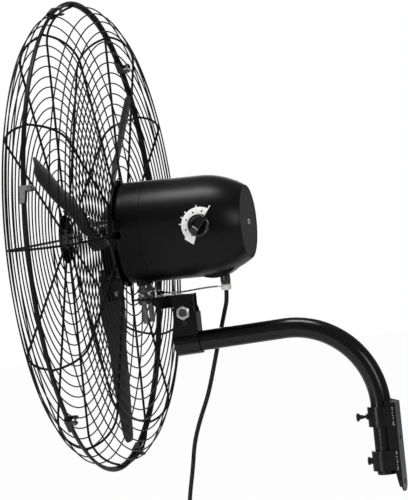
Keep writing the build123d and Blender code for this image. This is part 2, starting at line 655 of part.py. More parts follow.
def guard_mount_plate():
    """The disc that the rear ribs are welded to, screwed to the motor."""
    back = REAR_DEPTH - RIB_R - WELD_GAP
    plate = turned([(MOUNT_PLATE_HOLE, back - MOUNT_PLATE_SHEET), (MOUNT_PLATE_R, back - MOUNT_PLATE_SHEET),
                    (MOUNT_PLATE_R, back), (MOUNT_PLATE_HOLE, back)])
    for i in range(4):
        plate -= around(BOSS_ANGLE + 90 * i) * rod(SCREW_R + 0.3, (BOSS_PITCH_R, 0, 0), (BOSS_PITCH_R, 90, 0))
    return HEAD * solid_of(plate)


def guard_mount_screws():
    face = REAR_DEPTH - RIB_R - WELD_GAP - MOUNT_PLATE_SHEET
    head = rod(5.0, (BOSS_PITCH_R, face - 3, 0), (BOSS_PITCH_R, face - FIT, 0))
    head = fillet(head.edges().group_by(Axis.Y)[0], 1.2)
    one = solid_of(head + rod(SCREW_R, (BOSS_PITCH_R, face - 1, 0), (BOSS_PITCH_R, face + 14, 0)))
    return [HEAD * around(BOSS_ANGLE + 90 * i) * one for i in range(4)]


# ---- motor housing -------------------------------------------------------------------------
STATOR_R = BELL_R - BELL_WALL - FIT


def front_bell():
    """The cast front half: bearing seat, bosses, posts for the tie bolts, stud bosses."""
    inner = BELL_R - BELL_WALL
    seat_r = BEARING_R + FIT
    seat_back = BEARING_FRONT_Y + BEARING_W - 1
    bore, face_back = SHAFT_R + 1.5, BELL_FRONT + BELL_FACE
    body = turned([(bore, BELL_FRONT), (BELL_R, BELL_FRONT), (BELL_R, BELL_BACK), (inner, BELL_BACK),
                   (inner, face_back), (seat_r + 5, face_back), (seat_r + 5, seat_back), (seat_r, seat_back),
                   (seat_r, BEARING_FRONT_Y - FIT), (bore, BEARING_FRONT_Y - FIT)])
    front_edge = body.edges().filter_by(GeomType.CIRCLE).filter_by(lambda e: abs(e.radius - BELL_R) < 0.01)
    body = fillet(front_edge.sort_by(Axis.Y)[0], BELL_EDGE)
    plate_back = REAR_DEPTH - RIB_R - WELD_GAP
    for i in range(4):
        body += around(BOSS_ANGLE + 90 * i) * rod(BOSS_R, (BOSS_PITCH_R, plate_back + FIT, 0),
                                                  (BOSS_PITCH_R, BELL_FRONT + 10, 0))
        post = rod(BOSS_R - 0.5, (TIE_R, BELL_FRONT + 2, 0), (TIE_R, STATOR_FRONT - FIT, 0))
        body += around(TIE_ANGLE + 90 * i) * post
    for side in (-1, 1):
        body += rod(STUD_R + 4, (side * STUD_X, STUD_Y, STUD_TOP + 2), (side * STUD_X, STUD_Y, -BELL_R - 4))
    body -= rod(inner, (0, STATOR_FRONT - 2 * FIT, 0), (0, BELL_BACK + 1, 0))
    for i in range(4):
        body -= around(BOSS_ANGLE + 90 * i) * rod(SCREW_R + FIT, (BOSS_PITCH_R, 0, 0), (BOSS_PITCH_R, 65, 0))
        body -= around(TIE_ANGLE + 90 * i) * rod(SCREW_R + FIT, (TIE_R, 64, 0), (TIE_R, 90, 0))
        body -= around(90 * i) * block((BELL_R - 9, BELL_FRONT + BELL_FACE, -WINDOW_WIDTH / 2),
                                       (BELL_R + 5, BELL_FRONT + BELL_FACE + WINDOW_LENGTH, WINDOW_WIDTH / 2))
    for side in (-1, 1):
        body -= rod(STUD_R + FIT, (side * STUD_X, STUD_Y, STUD_TOP + FIT), (side * STUD_X, STUD_Y, -BELL_R - 9))
    return HEAD * solid_of(body)


def barrel(offset, front, back):
    """The barrel's outline as a filled solid of revolution, drawn in by an offset."""
    drop = BELL_R - SHELL_BACK_R
    run = SHELL_BACK - SHELL_STRAIGHT
    arc_r = (run ** 2 + drop ** 2) / (2 * drop) - offset
    centre_r = BELL_R - offset - arc_r
    end = back - SHELL_STRAIGHT
    mid = end / 2
    arc = ThreePointArc((BELL_R - offset, SHELL_STRAIGHT), (centre_r + math.sqrt(arc_r ** 2 - mid ** 2),
                        SHELL_STRAIGHT + mid), (centre_r + math.sqrt(arc_r ** 2 - end ** 2), back))
    rest = Polyline((centre_r + math.sqrt(arc_r ** 2 - end ** 2), back), (0, back), (0, front),
                    (BELL_R - offset, front), (BELL_R - offset, SHELL_STRAIGHT))
    return revolve(make_face([arc, rest]), axis=Axis.Y)


def rear_shell():
    """The smooth rear half of the housing, open at the back for its cap."""
    front = BELL_BACK + SEAM
    shell = barrel(0, front, SHELL_BACK) - barrel(SHELL_WALL, front - 1, SHELL_BACK - CAP_SHEET - 4)
    shell -= rod(CAP_R + 0.3, (0, SHELL_BACK - CAP_SHEET - 0.5, 0), (0, SHELL_BACK + 9, 0))
    shell -= rod(CAP_R - 4, (0, SHELL_BACK - 20, 0), (0, SHELL_BACK + 9, 0))
    edge = shell.edges().filter_by(GeomType.CIRCLE).group_by(Axis.Y)[-1].sort_by(lambda e: e.radius)[-1]
    shell = fillet(edge, 1.4)
    shell -= rod(BUSH_R + FIT, (BELL_R / 2, DIAL_Y, DIAL_Z), (BELL_R * 1.5, DIAL_Y, DIAL_Z))
    shell -= rod(CORD_R + 1, (0, GLAND_Y, -BELL_R / 2), (0, GLAND_Y, -BELL_R * 1.5))
    return HEAD * solid_of(shell)


def rear_cap():
    back = SHELL_BACK - 0.5
    cap = turned([(CAP_SCREW_R + FIT, back - CAP_SHEET + FIT), (CAP_R, back - CAP_SHEET + FIT), (CAP_R, back),
                  (CAP_SCREW_R + FIT, back)])
    outer = cap.edges().filter_by(GeomType.CIRCLE).group_by(Axis.Y)[-1].sort_by(lambda e: e.radius)[-1]
    return HEAD * solid_of(fillet(outer, 0.8))


def cap_screw():
    face = SHELL_BACK - 0.5
    head = rod(CAP_SCREW_HEAD_R, (0, face + FIT, 0), (0, face + 2.6, 0))
    head = fillet(head.edges().group_by(Axis.Y)[-1], 1.2)
    shank = rod(CAP_SCREW_R, (0, face - 14, 0), (0, face + 1, 0))
    slot = block((-CAP_SCREW_HEAD_R, face + 1.6, -0.6), (CAP_SCREW_HEAD_R, face + 4, 0.6))
    return HEAD * solid_of(head + shank - slot)


# ---- motor inside --------------------------------------------------------------------------
def stator_core():
    core = turned([(STATOR_BORE, STATOR_FRONT), (STATOR_R, STATOR_FRONT), (STATOR_R, STATOR_BACK),
                   (STATOR_BORE, STATOR_BACK)])
    for i in range(4):
        hole = rod(SCREW_R + FIT, (TIE_R, STATOR_FRONT - 1, 0), (TIE_R, STATOR_BACK + 1, 0))
        core -= around(TIE_ANGLE + 90 * i) * hole
    return HEAD * solid_of(core)


def stator_windings():
    made = []
    for low in (STATOR_FRONT - FIT - WINDING_H, STATOR_BACK + FIT):
        coil = turned([(WINDING_IN, low), (WINDING_OUT, low), (WINDING_OUT, low + WINDING_H),
                       (WINDING_IN, low + WINDING_H)])
        outer = low if low < STATOR_FRONT else low + WINDING_H
        edges = coil.edges().filter_by(GeomType.CIRCLE).filter_by(lambda e: abs(e.center().Y - outer) < 0.01)
        made.append(HEAD * fillet(edges, 4.0))
    return made


def races(low, high, groove):
    """One bearing race at each end of the shaft, with the groove that its balls run in."""
    made = []
    for y in (BEARING_FRONT_Y, BEARING_BACK_Y):
        race = turned([(low, y), (high, y), (high, y + BEARING_W), (low, y + BEARING_W)])
        track = Pos(0, y + BEARING_W / 2, 0) * Rot(90, 0, 0) * Torus(groove, BALL_R + RUN)
        made.append(HEAD * solid_of(race - track))
    return made


BALL_TRACK = (SHAFT_R + BEARING_R) / 2


def bearing_balls():
    made = []
    for y in (BEARING_FRONT_Y, BEARING_BACK_Y):
        for i in range(BALL_COUNT):
            ball = Pos(BALL_TRACK, y + BEARING_W / 2, 0) * Sphere(BALL_R)
            made.append(HEAD * around(i * 360 / BALL_COUNT) * ball)
    return made


def rear_end_shield():
    """Carries the rear bearing and closes the stator."""
    seat_r = BEARING_R + FIT
    seat_back = BEARING_BACK_Y + BEARING_W + FIT
    body = turned([(SHAFT_R + 2, SHIELD_BACK - SHIELD_SHEET), (STATOR_R - 6, SHIELD_BACK - SHIELD_SHEET),
                   (STATOR_R - 6, STATOR_BACK + FIT), (STATOR_R, STATOR_BACK + FIT), (STATOR_R, SHIELD_BACK),
                   (seat_r + 5, SHIELD_BACK), (seat_r + 5, seat_back + 4), (0, seat_back + 4), (0, seat_back),
                   (seat_r, seat_back), (seat_r, BEARING_BACK_Y - FIT), (SHAFT_R + 2, BEARING_BACK_Y - FIT)])
    for i in range(4):
        turn = around(TIE_ANGLE + 90 * i)
        body += turn * rod(BOSS_R - 0.5, (TIE_R, STATOR_BACK + FIT, 0), (TIE_R, SHIELD_BACK, 0))
        body -= turn * rod(SCREW_R + FIT, (TIE_R, STATOR_BACK - 1, 0), (TIE_R, SHIELD_BACK + 1, 0))
    body &= rod(STATOR_R, (0, 0, 0), (0, SHELL_BACK, 0))
    body -= rod(SCREW_R + FIT, (0, seat_back + 1, 0), (0, seat_back + 9, 0))
    return HEAD * solid_of(body)


def tie_bolts():
    made = []
    for i in range(4):
        head = hexagon(8.0, (TIE_R, SHIELD_BACK + FIT, 0), (TIE_R, SHIELD_BACK + 4, 0))
        shank = rod(SCREW_R, (TIE_R, 64.5, 0), (TIE_R, SHIELD_BACK + 1, 0))
        made.append(HEAD * around(TIE_ANGLE + 90 * i) * solid_of(head + shank))
    return made


def cover_post():
    """A hexagonal spacer from the end shield to the cap."""
    front = BEARING_BACK_Y + BEARING_W + 4 + 2 * FIT
    back = SHELL_BACK - 0.5 - CAP_SHEET
    post = hexagon(10.0, (0, front, 0), (0, back, 0)) + rod(SCREW_R, (0, front - 2.5, 0), (0, front + 1, 0))
    return HEAD * solid_of(post - rod(CAP_SCREW_R + FIT, (0, back - 13, 0), (0, back + 1, 0)))


def run_capacitor():
    w, d, h = CAN_SIZE
    front = SHIELD_BACK + FIT
    can = block((CAN_X - w / 2, front, CAN_Z - h / 2), (CAN_X + w / 2, front + d, CAN_Z + h / 2))
    can = fillet(can.edges().filter_by(Axis.Y), 8.0)
    tabs = None
    for z in (-8, 8):
        tab = block((CAN_X - 3, front + d - 1, CAN_Z + z - 0.5), (CAN_X + 3, front + d + 8, CAN_Z + z + 0.5))
        can += tab
    return HEAD * solid_of(can)


# ---- speed control -------------------------------------------------------------------------
DIAL_FACE = math.sqrt(BELL_R ** 2 - DIAL_Z ** 2)
SWITCH_FACE = DIAL_FACE - 8.0


def speed_switch():
    """The switch behind the dial, held by its bush and a nut through the shell."""
    d, w, h = SWITCH_SIZE
    body = block((SWITCH_FACE - d, DIAL_Y - w / 2, DIAL_Z - h / 2),
                 (SWITCH_FACE, DIAL_Y + w / 2, DIAL_Z + h / 2))
    body = fillet(body.edges().filter_by(Axis.X), 3.0)
    body += rod(BUSH_R, (SWITCH_FACE - 1, DIAL_Y, DIAL_Z), (DIAL_FACE + 1, DIAL_Y, DIAL_Z))
    flange = rod(BUSH_R + 5, (SWITCH_FACE - 1, DIAL_Y, DIAL_Z), (DIAL_FACE, DIAL_Y, DIAL_Z))
    body += flange & barrel(SHELL_WALL + FIT, BELL_BACK + 9, SHELL_BACK - 20)
    body -= rod(SPINDLE_R + RUN, (SWITCH_FACE - 12, DIAL_Y, DIAL_Z), (DIAL_FACE + 9, DIAL_Y, DIAL_Z))
    return HEAD * solid_of(body)


def knob_plane(x):
    """Seen from +X: across is +Y, up is +Z."""
    return Plane(origin=(x, DIAL_Y, DIAL_Z), x_dir=(0, 1, 0), z_dir=(1, 0, 0))


def speed_knob():
    """A round skirt with a raised grip, sloped down at the end that points."""
    back = DIAL_FACE + SEAT + 1
    skirt = extrude(knob_plane(back) * Circle(KNOB_R), amount=KNOB_SKIRT)
    skirt = fillet(skirt.edges().group_by(Axis.X)[-1], 1.5)
    side = Polyline((-KNOB_R + 1, 0), (-KNOB_R + 1, KNOB_HEIGHT - 3), (GRIP_CREASE, KNOB_HEIGHT),
                    (KNOB_R - 0.5, KNOB_SKIRT), (KNOB_R - 0.5, 0), close=True)
    grip_plane = Plane(origin=(back, DIAL_Y, DIAL_Z), x_dir=(0, math.cos(math.radians(POINTER_ANGLE)),
                       math.sin(math.radians(POINTER_ANGLE))), z_dir=(0, math.sin(math.radians(POINTER_ANGLE)),
                       -math.cos(math.radians(POINTER_ANGLE))))
    grip = extrude(grip_plane * make_face(side), amount=GRIP_HALF, both=True)
    knob = skirt + grip
    knob -= rod(SPINDLE_R + FIT, (back - 1, DIAL_Y, DIAL_Z), (back + KNOB_HEIGHT - 5, DIAL_Y, DIAL_Z))
    return HEAD * solid_of(knob)


def knob_spindle():
    return HEAD * rod(SPINDLE_R, (SWITCH_FACE - 10, DIAL_Y, DIAL_Z),
                      (DIAL_FACE + SEAT + KNOB_HEIGHT - 5, DIAL_Y, DIAL_Z))


def dial_scale():
    """The printed arc around the knob, as thick as its paint, on the shell's surface."""
    mid = (SCALE_FROM + SCALE_TO) / 2


    def at(r, a):
        return (r * math.cos(math.radians(a)), r * math.sin(math.radians(a)))

    outer = ThreePointArc(at(SCALE_OUT, SCALE_FROM), at(SCALE_OUT, mid), at(SCALE_OUT, SCALE_TO))
    inner = ThreePointArc(at(SCALE_IN, SCALE_TO + 6), at(SCALE_IN, mid), at(SCALE_IN, SCALE_FROM))
    ends = Polyline(at(SCALE_OUT, SCALE_TO), at(SCALE_OUT + SCALE_MARK, SCALE_TO + 3),
                    at(SCALE_OUT + SCALE_MARK, SCALE_TIP), at(SCALE_IN - 0.6, SCALE_TIP + 2),
                    at(SCALE_IN + 3.2, SCALE_TO + 13), at(SCALE_IN, SCALE_TO + 6))
    band = make_face([outer, ends, inner, Line(at(SCALE_IN, SCALE_FROM), at(SCALE_OUT, SCALE_FROM))])
    solid = extrude(knob_plane(BELL_R / 2) * band, amount=BELL_R)
    long_mark = SCALE_OUT + 1.6 * SCALE_MARK
    for angle, start, end in ((97, SCALE_OUT, SCALE_OUT + SCALE_MARK), (134, SCALE_OUT, SCALE_OUT + SCALE_MARK),
                              (152, SCALE_OUT, SCALE_OUT + SCALE_MARK), (172, SCALE_OUT, SCALE_OUT + SCALE_MARK),
                              (SCALE_FROM, SCALE_IN + 0.4, long_mark)):
        mark = Rot(0, 0, angle) * Pos((start + end - 1) / 2, 0) * Rectangle(end - start + 1, 1.7)
        solid += extrude(knob_plane(BELL_R / 2) * mark, amount=BELL_R)
    for angle in (76, 113, 153, 194):
        dot_y = DIAL_Y + SCALE_DOTS * math.cos(math.radians(angle))
        dot_z = DIAL_Z + SCALE_DOTS * math.sin(math.radians(angle))
        solid -= rod(1.6, (BELL_R / 2 - 1, dot_y, dot_z), (BELL_R * 1.5, dot_y, dot_z))
    skin = barrel(-SCALE_PRINT - FIT, BELL_BACK + 9, SHELL_BACK - 20)
    skin -= barrel(-FIT, BELL_BACK + 8, SHELL_BACK - 19)
    return HEAD * solid_of(solid & skin)


# ---- rotor ---------------------------------------------------------------------------------
def blade_point(r, u, n):
    """A point of the blade's section at radius r: u from edge to edge, n off the mean line."""
    share = (r - BLADE_ROOT) / (BLADE_TIP - BLADE_ROOT)
    chord = CHORD_ROOT + (CHORD_TIP - CHORD_ROOT) * share
    pitch = math.radians(PITCH_ROOT + (PITCH_TIP - PITCH_ROOT) * share)
    mid_y = MID_Y_ROOT + (MID_Y_TIP - MID_Y_ROOT) * share
    rise = chord * CAMBER
    bow = (chord ** 2 / 4 + rise ** 2) / (2 * rise)
    half = math.asin(chord / 2 / bow)
    along = (bow + n) * math.sin(u * half)
    off = rise - bow + (bow + n) * math.cos(u * half)
    z = BLADE_SWEEP + along * math.cos(pitch) + off * math.sin(pitch)
    y = mid_y - along * math.sin(pitch) + off * math.cos(pitch)
    return Vector(r, y, z)


def blade_section(r, edge, low, high):
    outer = ThreePointArc(blade_point(r, -edge, high), blade_point(r, 0, high), blade_point(r, edge, high))
    inner = ThreePointArc(blade_point(r, edge, low), blade_point(r, 0, low), blade_point(r, -edge, low))
    return make_face([outer, Line(outer @ 1, inner @ 0), inner, Line(inner @ 1, outer @ 0)])


def blade_holes():
    """Where the rivets go through a blade and its arm: radius, place across."""
    return [(BLADE_ROOT + 16, -0.26), (BLADE_ROOT + 16, 0.26), (ARM_REACH - 12, 0.0)]


def rivet_axis(r, u):
    low = blade_point(r, u, -BLADE_SHEET / 2)
    high = blade_point(r, u, BLADE_SHEET / 2 + ARM_SHEET + FIT)
    way = (high - low).normalized()
    return low, high, way


def blade_form(extra):
    """One blade before its holes, grown on all its faces by an allowance."""
    run = BLADE_TIP - BLADE_ROOT
    shares = [0, 0.16, 0.38, 0.6, 0.8, 0.92, 0.975, 1]
    edges = [0.86, 1, 1, 1, 1, 0.94, 0.78, 0.5]
    half = BLADE_SHEET / 2 + extra
    wider = extra * 0.04
    return loft([blade_section(BLADE_ROOT + run * s, e + wider, -half, half) for s, e in zip(shares, edges)])


def hub_arm():
    """One arm of the hub before its holes, clear of the blade that lies on it."""
    high = BLADE_SHEET / 2 + FIT + ARM_SHEET
    stations = [HUB_R - 8, BLADE_ROOT - 2, ARM_REACH]
    arm = loft([blade_section(r, ARM_SHARE, -BLADE_SHEET / 4, high) for r in stations])
    return arm - blade_form(FIT)


def fan_blades():
    blade = blade_form(0)
    for r, u in blade_holes():
        low, high, way = rivet_axis(r, u)
        blade -= rod(RIVET_R + FIT, low - way * 3, high + way * 3)
    blade = solid_of(blade)
    return [HEAD * around(BLADE_FIRST + i * 360 / BLADE_COUNT) * blade for i in range(BLADE_COUNT)]


def fan_hub():
    """A boss on the shaft with an arm under each blade."""
    arm = hub_arm()
    hub = turned([(0, HUB_FRONT), (HUB_R - 3, HUB_FRONT), (HUB_R, HUB_FRONT + 3), (HUB_R, HUB_BACK),
                  (0, HUB_BACK)])
    for r, u in blade_holes():
        start, end, way = rivet_axis(r, u)
        arm -= rod(RIVET_R + FIT, start - way * 3, end + way * 3)
    arm = solid_of(arm)
    for i in range(BLADE_COUNT):
        hub += around(BLADE_FIRST + i * 360 / BLADE_COUNT) * arm
    hub -= rod(SHAFT_R + FIT, (0, HUB_FRONT - 9, 0), (0, HUB_BACK + 9, 0))
    return HEAD * solid_of(hub)


def blade_rivets():
    blade, arm = blade_form(FIT), hub_arm()
    made = []
    for r, u in blade_holes():
        low, high, way = rivet_axis(r, u)
        heads = rod(RIVET_HEAD_R, low - way * RIVET_HEAD_H, low + way * 0.3)
        heads += rod(RIVET_HEAD_R, high - way * 0.3, high + way * RIVET_HEAD_H)
        body = rod(RIVET_R, low - way, high + way) + (heads - blade - arm)
        made.append(solid_of(body))
    turns = [HEAD * around(BLADE_FIRST + i * 360 / BLADE_COUNT) for i in range(BLADE_COUNT)]
    return [turn * one for turn in turns for one in made]


def motor_shaft():
    shaft = rod(SHAFT_R, (0, SHAFT_FRONT, 0), (0, SHAFT_BACK - 2, 0))
    return HEAD * chamfer(shaft.edges().group_by(Axis.Y)[0], 1.0)


def rotor_core():
    """The laminated rotor and its two cast end rings."""
    out = STATOR_BORE - AIR_GAP
    made = [turned([(SHAFT_R + FIT, STATOR_FRONT), (out, STATOR_FRONT), (out, STATOR_BACK),
                    (SHAFT_R + FIT, STATOR_BACK)])]
    for low in (STATOR_FRONT - FIT - 6, STATOR_BACK + FIT):
        made.append(turned([(out - 15, low), (out - 1, low), (out - 1, low + 6), (out - 15, low + 6)]))
    return [HEAD * solid_of(m) for m in made]


def shaft_nut():
    """A domed nut that holds the hub on the shaft."""
    back = HUB_FRONT - FIT
    nut = hexagon(24.0, (0, back, 0), (0, back - 12, 0))
    dome = Pos(0, back - 11, 0) * Sphere(11.0)
    nut = nut + dome
    return HEAD * solid_of(nut - rod(SHAFT_R + FIT, (0, SHAFT_FRONT - 1, 0), (0, back + 1, 0)))


# ---- cord, gland, coil and plug ------------------------------------------------------------
def gland_saddle():
    """The lens shaped pad under the barrel that the gland screws into."""
    start, end = (SADDLE_FROM, 1 - BELL_R), (SADDLE_TO, SADDLE_END)
    outline = make_face([ThreePointArc(start, (GLAND_Y - 2, SADDLE_BOTTOM), end), Line(end, start)])
    pad = extrude(Plane.YZ * outline, amount=SADDLE_HALF, both=True)
    pad -= barrel(-FIT, BELL_BACK + 9, SHELL_BACK)
    pad -= rod(GLAND_R + 1, (0, GLAND_Y, SADDLE_BOTTOM), (0, GLAND_Y, SADDLE_BOTTOM - 9))
    pad -= rod(CORD_R + 1, (0, GLAND_Y, -60), (0, GLAND_Y, -120))
    return HEAD * solid_of(pad)


def cord_gland():
    top = SADDLE_BOTTOM - FIT
    gland = rod(GLAND_R, (0, GLAND_Y, top), (0, GLAND_Y, GLAND_BOTTOM))
    gland = fillet(gland.edges().group_by(Axis.Z)[0], 1.0)
    neck = rod(CORD_R + 0.8, (0, GLAND_Y, top - 1), (0, GLAND_Y, -80))
    gland = gland + neck
    return HEAD * solid_of(gland - rod(CORD_R + FIT, (0, GLAND_Y, -70), (0, GLAND_Y, -120)))


def cord_clamp():
    """The pale ring on the cord just under the gland."""
    top = GLAND_BOTTOM - FIT
    ring_piece = rod(GLAND_R, (0, GLAND_Y, top), (0, GLAND_Y, top - CLAMP_H))
    ring_piece = fillet(ring_piece.edges().filter_by(GeomType.CIRCLE), 1.8)
    return HEAD * solid_of(ring_piece - rod(CORD_R + FIT, (0, GLAND_Y, top - 30), (0, GLAND_Y, top + 5)))


def tether():
    """A thin wire from a lug on the far stud to the ring on the cord."""
    z = stud_levels()["lug"]
    x = -STUD_X
    lug = pipe(LUG_R, STUD_R + FIT, (x, STUD_Y, z), (x, STUD_Y, z + LUG_H))
    lug += block((x - 2.5, STUD_Y + STUD_R + 1, z), (x + 2.5, STUD_Y + LUG_TAIL + 3, z + LUG_H))
    path = FilletPolyline((x, STUD_Y + LUG_TAIL, z + LUG_H / 2), (x + 2, STUD_Y + 36, z - 2.5),
                          (x + 10, STUD_Y + 84, z - 0.5), (-2, GLAND_Y - GLAND_R - 0.1, GLAND_BOTTOM - 3),
                          radius=60)
    wire = swept(path, TETHER_R)
    both = solid_of(lug + wire)
    return HEAD * (both - rod(STUD_R + FIT, (x, STUD_Y, z - 9), (x, STUD_Y, z + 9)))


def cord_corners():
    """The cord's corners and the radius of the arc at each, as large as its runs allow."""
    points = [Vector(*p) for p in CORD_ROUTE]
    radii = []
    for before, here, after in zip(points, points[1:], points[2:]):
        into, out = here - before, after - here
        half = math.radians(into.get_angle(out)) / 2
        radii.append(0.45 * min(into.length, out.length) / math.tan(half))
    return points, radii


def supply_cord():
    points, radii = cord_corners()
    points.append(Vector(*COIL_ENTRY))
    into, out = points[-2] - points[-3], points[-1] - points[-2]
    radii.append(0.45 * min(into.length, out.length) / math.tan(math.radians(into.get_angle(out)) / 2))
    path = FilletPolyline(*points, radius=radii)
    cord = swept(path, CORD_R)
    area = math.pi * CORD_R ** 2
    print("cord radii", [round(r) for r in radii])
    print("cord length", round(path.length, 1), "volume ratio", round(cord.volume / (area * path.length), 4))
    return HEAD * solid_of(cord)


def coil_radii():
    """The radius at each end of every half turn: in, out, in and out again."""
    inward = [COIL_OUTER - COIL_STEP * i for i in range(LAYER_HALF_TURNS)]
    radii = [COIL_OUTER + COIL_STEP]
    for layer in range(COIL_LAYERS):
        radii += inward if layer % 2 == 0 else inward[::-1]
    return radii


def coil_path():
    """Half turns that spiral in layers, a layer further in the half turn where they reverse."""
    radii = coil_radii()
    entry = Vector(*COIL_ENTRY)
    middle_y = entry.Y - radii[0]
    first = entry - Vector(0, 0, 2 * CORD_R)
    down, side = Vector(0, 0, -1), 1
    edges = [Line(entry, first)]
    here, layer = first, 0
    for i, r_to in enumerate(radii[1:]):
        climbs = i > 0 and i % LAYER_HALF_TURNS == 0
        layer += 1 if climbs else 0
        there = Vector(entry.X - layer * COIL_LAYER, middle_y - side * r_to, first.Z)
        way = down if side > 0 else down * -1
        if climbs:
            chord = there - here
            joint = (here + there) / 2 + way * (chord.length / 2)
            edges.append(TangentArc(here, joint, tangent=way))
            edges.append(TangentArc(joint, there, tangent=edges[-1] % 1))
        else:
            edges.append(TangentArc(here, there, tangent=way))
        here, side = there, -side
    edges.append(Line(here, here + Vector(0, 0, -COIL_TAIL)))
    return edges, here


def least_gap(edges):
    """Smallest distance between parts of the coil that lie more than a third of a turn apart."""
    points, along, total = [], [], 0.0
    for edge in edges:
        steps = max(2, int(edge.length / 3))
        for i in range(steps):
            points.append(edge @ (i / steps))
            along.append(total + edge.length * i / steps)
        total += edge.length
    apart = COIL_OUTER * 2
    best = 1e9
    for i, a in enumerate(points):
        for j in range(i + 1, len(points)):
            if along[j] - along[i] > apart:
                best = min(best, (a - points[j]).length)
    return best - 2 * CORD_R


def cord_coil():
    edges, end = coil_path()
    path = Wire(edges)
    coil = swept(path, CORD_R)
    area = math.pi * CORD_R ** 2
    print("coil length", round(path.length, 1), "volume ratio", round(coil.volume / (area * path.length), 4))
    print("coil least gap", round(least_gap(edges), 2))
    return HEAD * solid_of(coil)


def coil_tie():
    """A strap round the bundle at the top of the coil."""
    entry = Vector(*COIL_ENTRY)
    radii = coil_radii()
    y = entry.Y - radii[0]
    z = entry.Z - 2 * CORD_R
    inside = min(radii) + COIL_STEP / 2 - CORD_R
    half = (TIE_WIDTH + COIL_STEP) / 2
    low_r = math.sqrt(inside ** 2 - half ** 2) - TIE_SLACK
    high_r = COIL_OUTER - COIL_STEP / 2 + CORD_R + TIE_SLACK
    far_x = entry.X - (COIL_LAYERS - 1) * COIL_LAYER - CORD_R - TIE_SLACK
    near_x = entry.X + CORD_R + TIE_SLACK
    inner = block((far_x, y - TIE_WIDTH, z + low_r), (near_x, y + TIE_WIDTH, z + high_r))
    outer = block((far_x - TIE_SHEET, y - TIE_WIDTH / 2, z + low_r - TIE_SHEET),
                  (near_x + TIE_SHEET, y + TIE_WIDTH / 2, z + high_r + TIE_SHEET))
    outer = fillet(outer.edges().filter_by(Axis.Y), 3.0)
    inner = fillet(inner.edges().filter_by(Axis.Y), 1.5)
    return HEAD * solid_of(outer - inner)


def plug_place():
    edges, end = coil_path()
    top = end.Z - COIL_TAIL - FIT
    return end.X, end.Y, top, top - PLUG_NECK - PLUG_H


def mains_plug():
    """A plug with a tapered neck, its face down."""
    x, y, top, low = plug_place()
    neck = Pos(x, y, top - PLUG_NECK) * Cone(PLUG_D / 2 - 2, CORD_R + 1.2, PLUG_NECK,
                                              align=(Align.CENTER, Align.CENTER, Align.MIN))
    body = block((x - PLUG_D / 2, y - PLUG_W / 2, low), (x + PLUG_D / 2, y + PLUG_W / 2, top - PLUG_NECK + 1))
    body = fillet(body.edges().filter_by(Axis.Z), 7.0)
    body = fillet(body.edges().group_by(Axis.Z)[-1], 3.0)
    return HEAD * solid_of(body + neck)


def plug_pins():
    """Two flat blades and a round earth pin."""
    x, y, top, low = plug_place()
    made = []
    for s in (-1, 1):
        blade_y = y + s * PIN_SPACING / 2
        made.append(HEAD * block((x - 4.5, blade_y - 0.75, low - 17), (x + 1.8, blade_y + 0.75, low - FIT)))
    made.append(HEAD * rod(PIN_R, (x + 8, y, low - FIT), (x + 8, y, low - 20)))
    return made


# ---- write everything ----------------------------------------------------------------------
save("wall_channel", wall_channel())
save("upper_collar", solid_of(collar_at(UPPER_COLLAR_Z, THUMB_SHANK_R)))
save("lower_collar", solid_of(collar_at(LOWER_COLLAR_Z, THUMB_SHANK_R)))
save("upper_thumbscrew", thumbscrew(UPPER_COLLAR_Z, UPPER_THUMB_OUT))
save("lower_thumbscrew", thumbscrew(LOWER_COLLAR_Z, LOWER_THUMB_OUT))

save("arm_tube", arm_tube())
save("arm_end_cap", arm_end_cap())
save("tilt_clevis", tilt_clevis())
save("clevis_lock_screw", lock_screw())
save("tilt_bolt", tilt_bolt())
save("tilt_nut", tilt_nut())
save("tilt_washers", *tilt_washers())

save("neck_bracket", neck_bracket())
save("mounting_studs", *mounting_studs())
save("stud_nuts", *stud_nuts())
save("stud_washers", *stud_washers())

front_face, front_side = spiral(-1, FRONT_SPIRAL_FROM, FRONT_SPIRAL_LEAST)
save("front_guard_spiral", *front_face)
save("front_guard_side_spiral", *front_side)
save("front_guard_ribs", *ribs(-1, FRONT_RIB_START, FRONT_RIB_END))
save("front_guard_badge", guard_badge())
rear_face, rear_side = spiral(1, REAR_SPIRAL_FROM, REAR_SPIRAL_LEAST)
print("spiral turns", len(front_face), len(front_side), len(rear_face), len(rear_side))
save("rear_guard_spiral", *rear_face)
save("rear_guard_side_spiral", *rear_side)
save("rear_guard_ribs", *ribs(1, REAR_RIB_START, REAR_RIB_END))
save("rim_wires", *rim_wires())
save("rim_clips", *rim_clips())
save("rim_clip_screws", *rim_clip_screws())
save("guard_mount_plate", guard_mount_plate())
save("guard_mount_screws", *guard_mount_screws())

save("front_bell", front_bell())
save("rear_shell", rear_shell())
save("rear_cap", rear_cap())
save("cap_screw", cap_screw())
save("stator_core", stator_core())
save("stator_windings", *stator_windings())
save("bearing_outer_races", *races(BEARING_R - RACE, BEARING_R, BALL_TRACK))
save("bearing_balls", *bearing_balls())
save("rear_end_shield", rear_end_shield())
save("tie_bolts", *tie_bolts())
save("cover_post", cover_post())
save("run_capacitor", run_capacitor())
save("speed_switch", speed_switch())
save("dial_scale", dial_scale())
save("speed_knob", speed_knob())
save("knob_spindle", knob_spindle())

save("bearing_inner_races", *races(SHAFT_R, SHAFT_R + RACE, BALL_TRACK))
save("motor_shaft", motor_shaft())
save("rotor_core", *rotor_core())
save("fan_hub", fan_hub())
save("fan_blades", *fan_blades())
save("blade_rivets", *blade_rivets())
save("shaft_nut", shaft_nut())

save("gland_saddle", gland_saddle())
save("cord_gland", cord_gland())
save("cord_clamp", cord_clamp())
save("tether_wire", tether())
save("supply_cord", supply_cord())
save("cord_coil", cord_coil())
save("coil_tie", coil_tie())
save("mains_plug", mains_plug())
save("plug_pins", *plug_pins())
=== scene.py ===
import bmesh
import bpy
import math
from mathutils import Matrix, Vector


